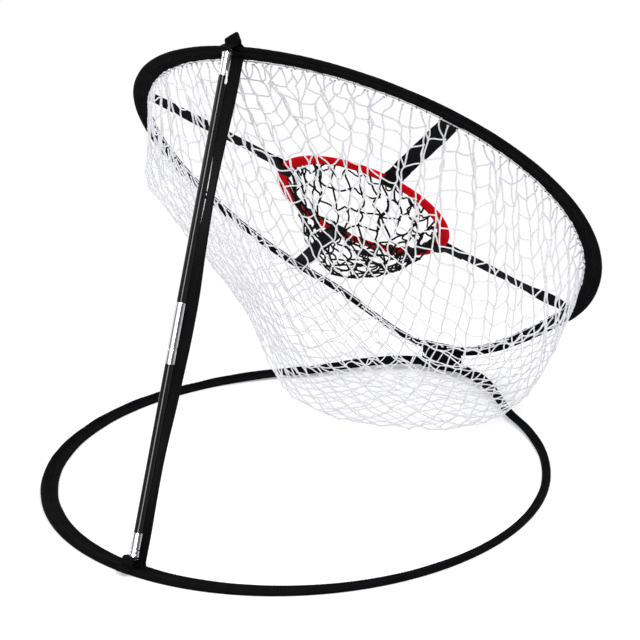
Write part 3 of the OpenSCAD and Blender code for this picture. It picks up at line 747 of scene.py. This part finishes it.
def lashings():
    """Black thread sewn over the edge cord and the sleeve's hem."""
    a = np.arange(LASH_COUNT) * 360 / LASH_COUNT + chance.normal(0, 0.5, LASH_COUNT)
    t = np.linspace(0, 2 * math.pi, 15)
    paths = []
    for step in t:
        shift = 0.45 * math.sin(step / 2)
        clear = hump(a, WRAP_PASS)
        out = -cord_in(a) - 0.9 + 1.6 * math.cos(step) * (1 - 0.3 * clear)
        up = -(cord_down(a) - 1.4) + (1.7 - 0.4 * clear) * math.sin(step)
        paths.append(on_hoop_edge(upper_point, from_hoop, a + shift, out, up))
    paths = np.stack(paths, 1)
    away = unit(paths[:, 0] - paths[:, 7])
    middle = paths.mean(1, keepdims=True)
    along = unit(np.cross(paths[:, 4] - middle[:, 0], away))
    return cords(paths, along, LASH_R, 5)


def make_bag():
    bag = add_piece("net_bag_knotted", bag_pieces(), WHITE_CORD)
    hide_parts("net_bag")
    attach(bag, "upper_hoop")
    rim = on_target(0.0, 0.0, 0.0)
    normal = on_target(0.0, 0.0, 1.0) - rim
    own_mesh(bag)
    edge = add_piece("net_edge_laid", edge_cord_pieces(), WHITE_CORD)
    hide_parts("net_edge_cord")
    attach(edge, "upper_hoop")
    sewn = add_piece("net_edge_lashing", lashings(), THREAD)
    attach(sewn, "upper_hoop")


# ---- Target ----

TARGET_R, TARGET_W, TARGET_T, TARGET_DROP = 95, 13, 4, 3.5
STRAP_W, STRAP_T = 18, 1.2
STRAP_ANGLES = {"target_strap_low_right": 45, "target_strap_high_right": 135,
                "target_strap_high_left": 225, "target_strap_low_left": 315}
TURNED_STRAP = "target_strap_low_left"
TARGET_STEPS, TARGET_GIRTH = 360, 27
TARGET_STITCHES, TARGET_STITCH_HALF_ANGLE = 190, 0.35
LOOP_IN = math.sqrt((TARGET_R - TARGET_W) ** 2 - (STRAP_W / 2) ** 2) - GAP
POCKET_RIM_R = LOOP_IN - STRAP_T - GAP - 1
POCKET_MIDDLE, POCKET_HALF = np.array([5.0, -4.0, -70.0]), 43
POCKET_CELLS, POCKET_TURN = 6.7, math.radians(14)
POCKET_BAR, POCKET_ROUNDS, POCKET_OFF, POCKET_DRIFT, POCKET_INSET = 16.0, 30, 2.2, 2.4, 1.5
POCKET_CORD_R, POCKET_KNOT_R = 1.0, 1.8


def on_target(r, a, h):
    """A point at radius r and angle a round the target's middle, h above the plane of the straps."""
    r, a, h = np.broadcast_arrays(np.asarray(r, float), np.asarray(a, float), np.asarray(h, float))
    return from_hoop(np.stack([r * sine(a), UPPER_FRONT - r * cosine(a), UPPER_LOW + h], -1))


TARGET_UP = on_target(0, 0, 1) - on_target(0, 0, 0)


def strap_near(a):
    """1 where a strap's loop holds the ring, and nothing away from it."""
    return sum(hump(a - b, 9) for b in STRAP_ANGLES.values())


def make_target_ring():
    x = np.arange(TARGET_STEPS) / TARGET_STEPS
    a = 360 * x
    wire_r = TARGET_R - TARGET_T / 2 - 0.2
    hem = TARGET_R - TARGET_W - wire_r
    across = [hem + x for x in (0.05, 0.2, 0.8, 1.8, 3.2, 4.6)] + [-4.5, -3.2, -2.2, -1.2, 0, 1.0, 1.7, 2.1]
    held = strap_near(a)
    rows = []
    for side in (1, -1):
        for k, u in enumerate(across if side == 1 else across[::-1]):
            seam = math.exp(-((u + 3.0) / 1.2) ** 2)
            rise = min(1, max(0, (u + 4.0) / 2.6))
            half = 0.9 + 1.1 * (3 * rise ** 2 - 2 * rise ** 3)
            half *= math.sqrt(max(0.02, 1 - (max(0, u) / 2.2) ** 2)) if u > 0 else 1
            half *= 0.3 if u < hem + 0.1 else 1
            free = 1 - held
            pucker = waves(x, [61, 83, 97, 53], 5, 0.16) * (0.3 + seam) * free
            crease = waves(x, [5, 9, 14], 8 + k, 0.1) * free
            wavy = waves(x, [7, 13, 21, 34], 15, 0.35) * math.exp(-((u - hem) / 2.5) ** 2) * free
            h = -TARGET_DROP + side * (half - 0.15 * seam) + pucker + crease
            rows.append(on_target(wire_r + u + wavy, a, h))
    ring = tube_piece("target_ring_cloth", rows, TARGET_R, TARGET_GIRTH, RED_CLOTH)
    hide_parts("target_sleeve")
    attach(ring, "upper_hoop")
    b = np.arange(TARGET_STITCHES) * 360 / TARGET_STITCHES
    starts, ends, away = [], [], []
    for side in (1, -1):
        h = -TARGET_DROP + side * 1.08
        starts.append(on_target(wire_r - 4.0, b - TARGET_STITCH_HALF_ANGLE, h))
        ends.append(on_target(wire_r - 4.0, b + TARGET_STITCH_HALF_ANGLE, h))
        away.append(np.tile(side * TARGET_UP, (TARGET_STITCHES, 1)))
    lines = np.concatenate(starts), np.concatenate(ends)
    seam = stitches("target_seam", lines, np.concatenate(away), RED_THREAD, 0.2)
    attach(seam, "upper_hoop")


def ribbon(line, side, width, thickness, bulge=0.0):
    """Flat webbing along a line. side is the direction across it at each point."""
    n = len(line)
    along = unit(np.gradient(line, axis=0))
    side = unit(side - along * (side * along).sum(1, keepdims=True))
    up = np.cross(side, along)
    half, t = width / 2, thickness / 2
    section = [(-half, 0), (-half + 0.15, 0.75 * t), (-half + 0.5, 1.05 * t), (-half + 1.6, 0.95 * t), (-half / 3, t),
               (half / 3, t), (half - 1.6, 0.95 * t), (half - 0.5, 1.05 * t), (half - 0.15, 0.75 * t), (half, 0)]
    section += [(x, -y) for x, y in section[-2:0:-1]]
    wobble = np.asarray(bulge)[..., None] * np.ones((n, 1)) if np.ndim(bulge) else np.zeros((n, 1))
    rows = [line + side * (x + wobble * np.sign(x)) + up * y for x, y in section]
    points = np.stack(rows, 1)
    span = float(np.linalg.norm(np.diff(line, axis=0), axis=1).mean())
    faces, uv = grid(n, len(section), False, True, span, 2 * width / len(section))
    m = len(section)
    caps = []
    for row in (0, n - 1):
        for k in range(m // 2 - 1):
            quad = [row * m + k, row * m + k + 1, row * m + m - 2 - k, row * m + (m - 1 - k)]
            caps.append(quad if row else quad[::-1])
    faces = np.concatenate([faces, np.array(caps)])
    uv = np.concatenate([uv, np.zeros((4 * len(caps), 2))])
    return points.reshape(-1, 3), faces, uv


def stitch_box(corner, edge, rise, along_len, across_len, crossed=True):
    """The two ends of each stitch of a sewn box, with a cross in it."""
    p00, p10 = corner, corner + edge * along_len
    p01, p11 = corner + rise * across_len, corner + edge * along_len + rise * across_len
    runs = [(p00, p10), (p10, p11), (p11, p01), (p01, p00)] + ([(p00, p11), (p01, p10)] if crossed else [])
    starts, ends = [], []
    for a, b in runs:
        steps = max(2, int(np.linalg.norm(b - a) / BOX_PITCH))
        for k in range(steps):
            starts.append(a + (b - a) * (k + 0.12) / steps)
            ends.append(a + (b - a) * (k + 0.88) / steps)
    return np.array(starts), np.array(ends)


def make_target_straps():
    for k, (node, a) in enumerate(STRAP_ANGLES.items()):
        loop_in, loop_out = LOOP_IN, TARGET_R + GAP
        low = -TARGET_DROP - TARGET_T / 2 - GAP
        t = STRAP_T / 2
        end = upper_radius(a) - HALF_W + 1.2
        route = [(end, -0.1), (end - 14, 0.25), (end - 60, -0.2), (loop_out + 30, 0.1), (loop_out + 8, 0.1),
                 (loop_out - 3, 0.55), (loop_in + 3, 0.45), (loop_in + 0.3, 0.2), (loop_in - t, -0.9),
                 (loop_in - t - 0.1, low + 0.8), (loop_in + 0.5, low - t), (loop_out - 2.5, low - t - 0.1),
                 (loop_out + 1.2, low + 0.8), (loop_out + 5, -2.2), (loop_out + 9, -1.5), (loop_out + 25, -1.35)]
        flat = smooth_path(route, 120)
        line = on_target(flat[:, 0], a, flat[:, 1])
        across = on_target(1.0, a + 90, 0) - on_target(0.0, 0.0, 0)
        run = np.linspace(0, 1, len(line))
        lean = 0.10 * np.sin(math.pi * np.clip(run / 0.5, 0, 1)) * (1 if k % 2 else -1)
        if node == TURNED_STRAP:
            turned = np.sin(2 * math.pi * np.clip(run / 0.42, 0, 1))
            lean = np.where(turned > 0, -0.24, -0.1) * turned
        side = across[None] + lean[:, None] * TARGET_UP[None]
        shape = ribbon(line, side, STRAP_W, STRAP_T, waves(run, [2, 3, 5], 40 + k, 0.18))
        strap = add_piece(node + "_webbing", shape, WEBBING)
        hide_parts(node)
        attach(strap, "upper_hoop")
        edge = on_target(1.0, a, 0) - on_target(0.0, 0.0, 0)
        corner = on_target(loop_out + 9, a, t + 0.1) - across * (STRAP_W / 2 - 2.5)
        box = stitch_box(corner, edge, across, 13, STRAP_W - 5)
        sewn = stitches(node + "_stitches", box, np.tile(TARGET_UP, (len(box[0]), 1)), THREAD)
        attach(sewn, "upper_hoop")


def pocket_point(a, s):
    rim = on_target(POCKET_RIM_R, a, -TARGET_DROP)
    middle = on_target(0.0, 0.0, -TARGET_DROP) + POCKET_MIDDLE
    corner = middle + heading(a) * POCKET_HALF
    return hang(rim, corner, middle, heading(a) * 2, 1.2, s)


def make_pocket():
    drape = Drape(pocket_point, cells=120)
    places, away, bars, ends, rim = loose_knots(drape, POCKET_CELLS, POCKET_TURN, POCKET_BAR, POCKET_ROUNDS,
                                                POCKET_OFF, POCKET_DRIFT, POCKET_INSET)
    angle = np.degrees(np.arctan2(rim.real, -rim.imag)) % 360
    reach = np.where(strap_near(angle) > 0, POCKET_RIM_R, TARGET_R - TARGET_W + 0.6)
    rim_places = on_target(reach, angle, -TARGET_DROP - 0.9)
    parts = bar_cords(places, rim_places, away, bars, ends, POCKET_CORD_R, (2.4, 1.2), (1.6, 1.0))
    steps = 56
    turn = (np.arange(steps) + chance.normal(0, 0.3, steps)) * 2 * math.pi / steps
    depth = np.where(np.arange(steps) % 2 == 0, 0.0, 0.055 * (0.5 + chance.random(steps)))
    hem = drape.place((1 - depth) * np.exp(1j * turn))
    hem_away = drape.normal((1 - depth) * 0.95 * np.exp(1j * turn))
    parts += [blobs(places, POCKET_KNOT_R), blobs(rim_places, POCKET_KNOT_R * 0.8)]
    hem_paths = bowed(hem, np.roll(hem, -1, 0), hem_away, 0.8, 0.4, 5)
    parts.append(cords(hem_paths, hem_away, POCKET_CORD_R * 0.85, 5))
    pocket = add_piece("pocket_net_knotted", joined(parts), BLACK_CORD)
    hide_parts("pocket_net")
    middle = on_target(0.0, 0.0, -TARGET_DROP) * MM
    normal = on_target(0.0, 0.0, 1.0) - on_target(0.0, 0.0, 0.0)
    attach(pocket, "upper_hoop")
    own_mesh(pocket)


# ---- Pole, tabs and straps ----

TAB_T, EYELET_D = 1.2, 9.6
FOOT_Y, FOOT_Z = -4.0, SLEEVE_T + 0.5 + EYELET_D / 2
HEAD_Y, HEAD_Z = 2 * UPPER_FRONT, UPPER_LOW - UPPER_WARP
HEAD_OUT, HEAD_DROP = EYELET_D / 2 + 7.4, 6.8
HEAD_POINT = from_hoop(np.array([0.0, HEAD_Y + HEAD_OUT, HEAD_Z - HEAD_DROP]))
FOOT_POINT = np.array([0.0, FOOT_Y, FOOT_Z])
POLE_LEN = float(np.linalg.norm(HEAD_POINT - FOOT_POINT))
POLE = (HEAD_POINT - FOOT_POINT) / POLE_LEN
POLE_BACK = np.array([0.0, POLE[2], -POLE[1]])
REAR_STRAP_W = 17


def make_rear_strap():
    foot = np.array([0.0, -HALF_W - GAP - STRAP_T / 2, 1.2])
    head = from_hoop(np.array([0.0, HEAD_Y, HEAD_Z - HEM_T / 2 - GAP - 1.7]))
    run = np.linspace(0, 1, 110)
    start = foot + np.array([0, 0, 3.0])
    sag = np.array([0, -1.0, -0.4]) * 2.2
    line = start + (head - start) * run[:, None] + sag * np.sin(math.pi * run)[:, None]
    line = np.concatenate([[foot], line])
    run = np.concatenate([[0], run])
    twist = (0.3 + 0.42 * np.sin(3 * math.pi * run + 0.5)) * np.sin(math.pi * run) + waves(run, [4, 7], 71, 0.05)
    up = unit(np.cross(X_AXIS, head - start))
    side = np.cos(twist)[:, None] * X_AXIS + np.sin(twist)[:, None] * up[None]
    shape = ribbon(line, side, REAR_STRAP_W, STRAP_T, waves(run, [3, 5, 8], 91, 0.25))
    strap = add_piece("rear_strap_webbing", shape, WEBBING)
    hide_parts("rear_strap")
    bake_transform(strap)


def soft_copy(node, name, voxel, material, shape):
    """A cloth piece in a solid's own place: its edges rounded, its faces fine enough to crease."""
    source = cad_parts[node]
    made = new_object(name, source.data.copy())
    remesh = made.modifiers.new("remesh", "REMESH")
    remesh.mode = "VOXEL"
    remesh.voxel_size = voxel * MM
    soften = made.modifiers.new("soften", "SMOOTH")
    soften.iterations = 6
    soften.factor = 0.5
    graph = bpy.context.evaluated_depsgraph_get()
    mesh = bpy.data.meshes.new_from_object(made.evaluated_get(graph))
    made.modifiers.clear()
    made.data = mesh
    mesh.materials.clear()
    mesh.materials.append(material)
    mesh.shade_smooth()
    points = np.empty(len(mesh.vertices) * 3, np.float32)
    mesh.vertices.foreach_get("co", points)
    normals = np.array([v.normal[:] for v in mesh.vertices])
    moved = shape(points.reshape(-1, 3) / MM, normals)
    mesh.vertices.foreach_set("co", (moved * MM).astype(np.float32).ravel())
    mesh.update()
    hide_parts(node)
    return made


def wrap_shape(p, n):
    """Folds that run round the front wrap, pinched at its middle, with its edges drawn in."""
    x = p[:, 0]
    folds = (0.55 * np.sin(x * 0.9 + 0.12 * p[:, 2]) + 0.35 * np.sin(x * 1.9 + 0.2 * p[:, 1])
             + 0.2 * np.sin(x * 3.7 - 0.3 * p[:, 2]))
    hollow = -1.6 * np.exp(-(x / 9.0) ** 2) * (np.abs(n[:, 1]) > 0.35)
    return p + n * (folds * 0.5 * (np.abs(n[:, 0]) < 0.5) + hollow * 0.5)[:, None]


TAB_BEND, TAB_BEND_LENGTH, TAB_STRETCH, TAB_DROOP = EYELET_D / 2 + 0.6, 2.2, 1.45, math.radians(75)


def drooping_tab(p, _):
    """The foot tab, rippled, with its free end past the eyelet turned down on to the sleeve."""
    ripple = 0.14 * np.sin(p[:, 0] * 1.3 + 0.5 * p[:, 1]) + 0.1 * np.sin(p[:, 0] * 2.9 - 0.8 * p[:, 2])
    p = (p + np.array([[0, 0.35, 0.35]]) * ripple[:, None]).astype(float)
    offset = p - FOOT_POINT
    along, off = offset @ POLE_BACK, offset @ POLE
    past = np.maximum(0, along - TAB_BEND) * TAB_STRETCH
    turn = np.minimum(past / TAB_BEND_LENGTH, 1) * TAB_DROOP
    radius = TAB_BEND_LENGTH / TAB_DROOP
    rest = np.maximum(0, past - TAB_BEND_LENGTH)
    new_along = TAB_BEND + radius * np.sin(turn) + rest * np.cos(turn) + off * np.sin(turn)
    new_off = -radius * (1 - np.cos(turn)) - rest * np.sin(turn) + off * np.cos(turn)
    moved = (np.abs(off) < 1.6) & (along > TAB_BEND)
    p[moved, 1] = FOOT_POINT[1] + new_along[moved] * POLE[2] + new_off[moved] * POLE[1]
    p[moved, 2] = FOOT_POINT[2] - new_along[moved] * POLE[1] + new_off[moved] * POLE[2]
    return p


# The head tab's ear: how high it stands above the sleeve, across the tab from +X to -X
EAR_X, EAR_HEIGHT = (-8.0, -6.5, -5.3, -3.6, 2.0, 6.5, 8.0), (2.2, 6.4, 9.8, 9.3, 6.6, 4.4, 3.4)
EAR_RISE = np.array([0.0, math.sin(LEAN), math.cos(LEAN)])
TAB_COLUMNS, TAB_ROWS, BARREL_HOLE = 25, 72, 3.05


def head_tab_surface():
    """A tongue over the sleeve that stands up in a folded ear and comes back under it to the eyelet."""
    columns = []
    for x in np.linspace(-8.0, 8.0, TAB_COLUMNS):
        ear = EAR_RISE * np.interp(x, EAR_X, EAR_HEIGHT)
        front, back = np.array([x, 9.2, 3.2]), np.array([x, 11.6, 1.4])
        middle = (front + back) / 2
        route = [(x, -5.5, 3.45), (x, 0.0, 3.6), (x, 6.6, 3.6), front, front + ear * 0.5, front + ear * 0.9,
                 middle + ear * 1.02, back + ear * 0.9, back + ear * 0.45, back, (x, 15.0, -3.4), (x, 18.6, -8.4),
                 (x, 19.2, -9.6), (x, 17.6, -9.1), (x, 11.0, -6.3), (x, 5.4, -4.05)]
        columns.append(smooth_path(route, TAB_ROWS))
    points = np.array(columns)
    points[:, :, 0] *= (1 - 0.06 * np.clip((points[:, :, 1] - 9) / 8, 0, 1))
    points = points + waves(np.linspace(0, 1, TAB_ROWS), [2, 3, 5], 61, 0.12)[None, :, None] * X_AXIS
    return from_hoop(points + np.array([0, HEAD_Y, HEAD_Z]))


def shell(points, thickness):
    """A closed sheet of some thickness round a grid of points."""
    n, m, _ = points.shape
    normal = unit(np.cross(np.gradient(points, axis=0), np.gradient(points, axis=1)))
    edge = np.minimum(np.minimum(np.arange(n), np.arange(n)[::-1]), 1)[:, None, None] * 0.6 + 0.4
    half = thickness / 2 * edge
    both = np.concatenate([(points + normal * half).reshape(-1, 3), (points - normal * half).reshape(-1, 3)])
    index = np.arange(n * m).reshape(n, m)
    top = np.stack([index[:-1, :-1], index[1:, :-1], index[1:, 1:], index[:-1, 1:]], -1).reshape(-1, 4)
    faces = [top, top[:, ::-1] + n * m]
    rims = [index[0, :], index[:, -1], index[-1, ::-1], index[::-1, 0]]
    for line in rims:
        faces.append(np.stack([line[:-1], line[1:], line[1:] + n * m, line[:-1] + n * m], -1))
    faces = np.concatenate(faces)
    size = np.array([[0, 0], [0.001, 0], [0.001, 0.001], [0, 0.001]])
    return both, faces, np.tile(size, (len(faces), 1))


HOLE_REACH, HOLE_SIDES = 4.0, 32


def cut_hole(piece, centre, axis, radius):
    """A round hole through a cloth piece."""
    n = HOLE_SIDES
    a = np.arange(n) * 2 * math.pi / n
    side = unit(np.cross(axis, X_AXIS))
    ring = radius * (np.cos(a)[:, None] * side + np.sin(a)[:, None] * np.cross(axis, side))
    points = np.concatenate([centre + ring - axis * HOLE_REACH, centre + ring + axis * HOLE_REACH]) * MM
    faces = [tuple(range(n))[::-1], tuple(range(n, 2 * n))]
    faces += [(k, (k + 1) % n, n + (k + 1) % n, n + k) for k in range(n)]
    mesh = bpy.data.meshes.new("cutter")
    mesh.from_pydata(points.tolist(), [], faces)
    cutter = new_object("cutter", mesh)
    hole = piece.modifiers.new("hole", "BOOLEAN")
    hole.operation, hole.solver, hole.object = "DIFFERENCE", "EXACT", cutter
    graph = bpy.context.evaluated_depsgraph_get()
    piece.data = bpy.data.meshes.new_from_object(piece.evaluated_get(graph))
    piece.modifiers.clear()
    bpy.data.objects.remove(cutter)


def make_tabs():
    wrap = soft_copy("hinge_wrap", "hinge_wrap_cloth", 0.45, SOFT_BLACK, wrap_shape)
    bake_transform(wrap)
    foot = soft_copy("foot_tab", "foot_tab_cloth", 0.3, SOFT_BLACK, drooping_tab)
    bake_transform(foot)
    head = add_piece("head_tab_cloth", shell(head_tab_surface(), TAB_T), SOFT_BLACK)
    cut_hole(head, HEAD_POINT, POLE, BARREL_HOLE)
    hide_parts("head_tab")
    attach(head, "upper_hoop")
    edge = unit(from_hoop(np.array([0.0, 1.0, 0.0])) - from_hoop(np.zeros(3)))
    corner = from_hoop(np.array([-6.2, HEAD_Y - 4.2, HEAD_Z + 4.12]))
    box = stitch_box(corner, X_AXIS, edge, 12.4, 5.0, crossed=False)
    sewn = stitches("head_tab_stitches", box, np.tile(TARGET_UP, (len(box[0]), 1)), THREAD)
    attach(sewn, "upper_hoop")


def make_head_loop():
    """A small loop of white cord tied at the head of the pole."""
    top = POLE_LEN - 20.5
    bends = [(3.0, -4.2, 2.6), (1, -5.4, 3.2), (-3, -6.6, 3.3), (-6.4, -6.9, 2.9), (-8.2, -6.0, 2.5),
             (-6.8, -5.0, 2.1), (-3, -5.1, 1.8), (0.5, -4.9, 1.7), (2.8, -4.3, 1.8)]
    route = [FOOT_POINT + POLE * (top + s) + X_AXIS * x + POLE_BACK * y for s, x, y in bends]
    shape = cords(smooth_path(route, 60)[None], X_AXIS[None], 0.7, 8)
    loop = add_piece("head_tie", shape, WHITE_CORD)
    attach(loop, "upper_pole")


# ---- Stage ----

def area_light(name, place, target, size, power, size_y=None, along=None):
    """A soft rectangular light. One laid along something shows only in what is shiny."""
    data = bpy.data.lights.new(name, "AREA")
    data.shape = "RECTANGLE"
    data.size = size
    data.size_y = size_y or size
    data.energy = power
    light = new_object(name, data)
    light.location = place
    back = (Vector(place) - Vector(target)).normalized()
    if along is None:
        light.rotation_euler = back.to_track_quat("Z", "Y").to_euler()
    else:
        across = Vector(along).cross(back).normalized()
        light.rotation_euler = Matrix((across, back.cross(across), back)).transposed().to_euler()
        light.visible_diffuse = False
    light.visible_camera = False


FLOOR_HALF, FLOOR_SUNK = 6.0, 0.0004
FLOOR_GLOW = 0.30
FLOOR_MIDDLE, FLOOR_FADE = (0, -0.28, 0), (0.27, 0.62)
SKY, SKY_COLOUR = 0.62, (0.97, 0.98, 1.0, 1)


def seen_rays(tree):
    """1 for rays from the camera, a shiny surface or glass, and 0 for the rays that light the object."""
    rays = add_node(tree, "LightPath").outputs
    first = add_node(tree, "Math", [(0, rays["Is Camera Ray"]), (1, rays["Is Glossy Ray"])], operation="MAXIMUM")
    inputs = [(0, first.outputs["Value"]), (1, rays["Is Transmission Ray"])]
    return add_node(tree, "Math", inputs, operation="MAXIMUM").outputs["Value"]


def make_floor():
    mesh = bpy.data.meshes.new("floor")
    h = FLOOR_HALF
    mesh.from_pydata([(-h, -h, 0), (h, -h, 0), (h, h, 0), (-h, h, 0)], [], [(0, 1, 2, 3)])
    floor = new_object("floor", mesh)
    floor.location.z = -FLOOR_SUNK
    material = bpy.data.materials.new("floor_paint")
    material.use_nodes = True
    tree = material.node_tree
    shader = tree.nodes["Principled BSDF"]
    shader.inputs["Roughness"].default_value = 0.9
    shader.inputs["Specular IOR Level"].default_value = 0.1
    grain = add_node(tree, "TexNoise", [("Scale", 3.0)]).outputs["Fac"]
    paint = add_ramp(tree, grain, (0.80, 0.80, 0.815), (0.82, 0.82, 0.83))
    tree.links.new(paint, shader.inputs["Base Color"])
    seen = seen_rays(tree)
    strength = add_node(tree, "Math", [(0, seen), (1, FLOOR_GLOW)], operation="MULTIPLY").outputs["Value"]
    glow = add_node(tree, "Emission", [("Strength", strength)]).outputs["Emission"]
    lit = add_node(tree, "AddShader", [(0, shader.outputs["BSDF"]), (1, glow)]).outputs["Shader"]
    # Away from the object the floor turns into the white backdrop
    place = add_node(tree, "TexCoord").outputs["Object"]
    away = add_node(tree, "VectorMath", [(0, place), (1, FLOOR_MIDDLE)], operation="DISTANCE").outputs["Value"]
    inputs = [("From Min", FLOOR_FADE[0]), ("From Max", FLOOR_FADE[1]), ("Value", away)]
    fade = add_node(tree, "MapRange", inputs, interpolation_type="SMOOTHSTEP").outputs["Result"]
    share = add_node(tree, "Math", [(0, fade), (1, seen)], operation="MULTIPLY").outputs["Value"]
    white = add_node(tree, "Emission").outputs["Emission"]
    mix = add_node(tree, "MixShader", [("Fac", share), (1, lit), (2, white)]).outputs["Shader"]
    tree.links.new(mix, tree.nodes["Material Output"].inputs["Surface"])
    mesh.materials.append(material)


def make_world():
    world = bpy.data.worlds.new("studio")
    bpy.context.scene.world = world
    world.use_nodes = True
    tree = world.node_tree
    light = tree.nodes["Background"]
    light.inputs["Color"].default_value = SKY_COLOUR
    light.inputs["Strength"].default_value = SKY
    white = add_node(tree, "Background", [("Color", (1, 1, 1, 1)), ("Strength", 1.0)]).outputs["Background"]
    inputs = [("Fac", seen_rays(tree)), (1, light.outputs["Background"]), (2, white)]
    mix = add_node(tree, "MixShader", inputs).outputs["Shader"]
    tree.links.new(mix, tree.nodes["World Output"].inputs["Surface"])


def make_lights():
    middle = (0, -0.3, 0.15)
    area_light("key", (-1.3, -0.2, 1.9), middle, 1.3, 28)
    area_light("fill", (1.5, 0.7, 1.5), middle, 1.6, 19)
    area_light("strip", (-0.50, 0.92, 0.60), (0, -0.09, 0.22), 0.45, 60, size_y=1.6, along=POLE)


finish_nodes()
make_sleeves()
make_bag()
make_target_ring()
make_target_straps()
make_pocket()
make_rear_strap()
make_tabs()
make_head_loop()
make_floor()
make_world()
make_lights()
bpy.context.scene.view_settings.view_transform = "Standard"
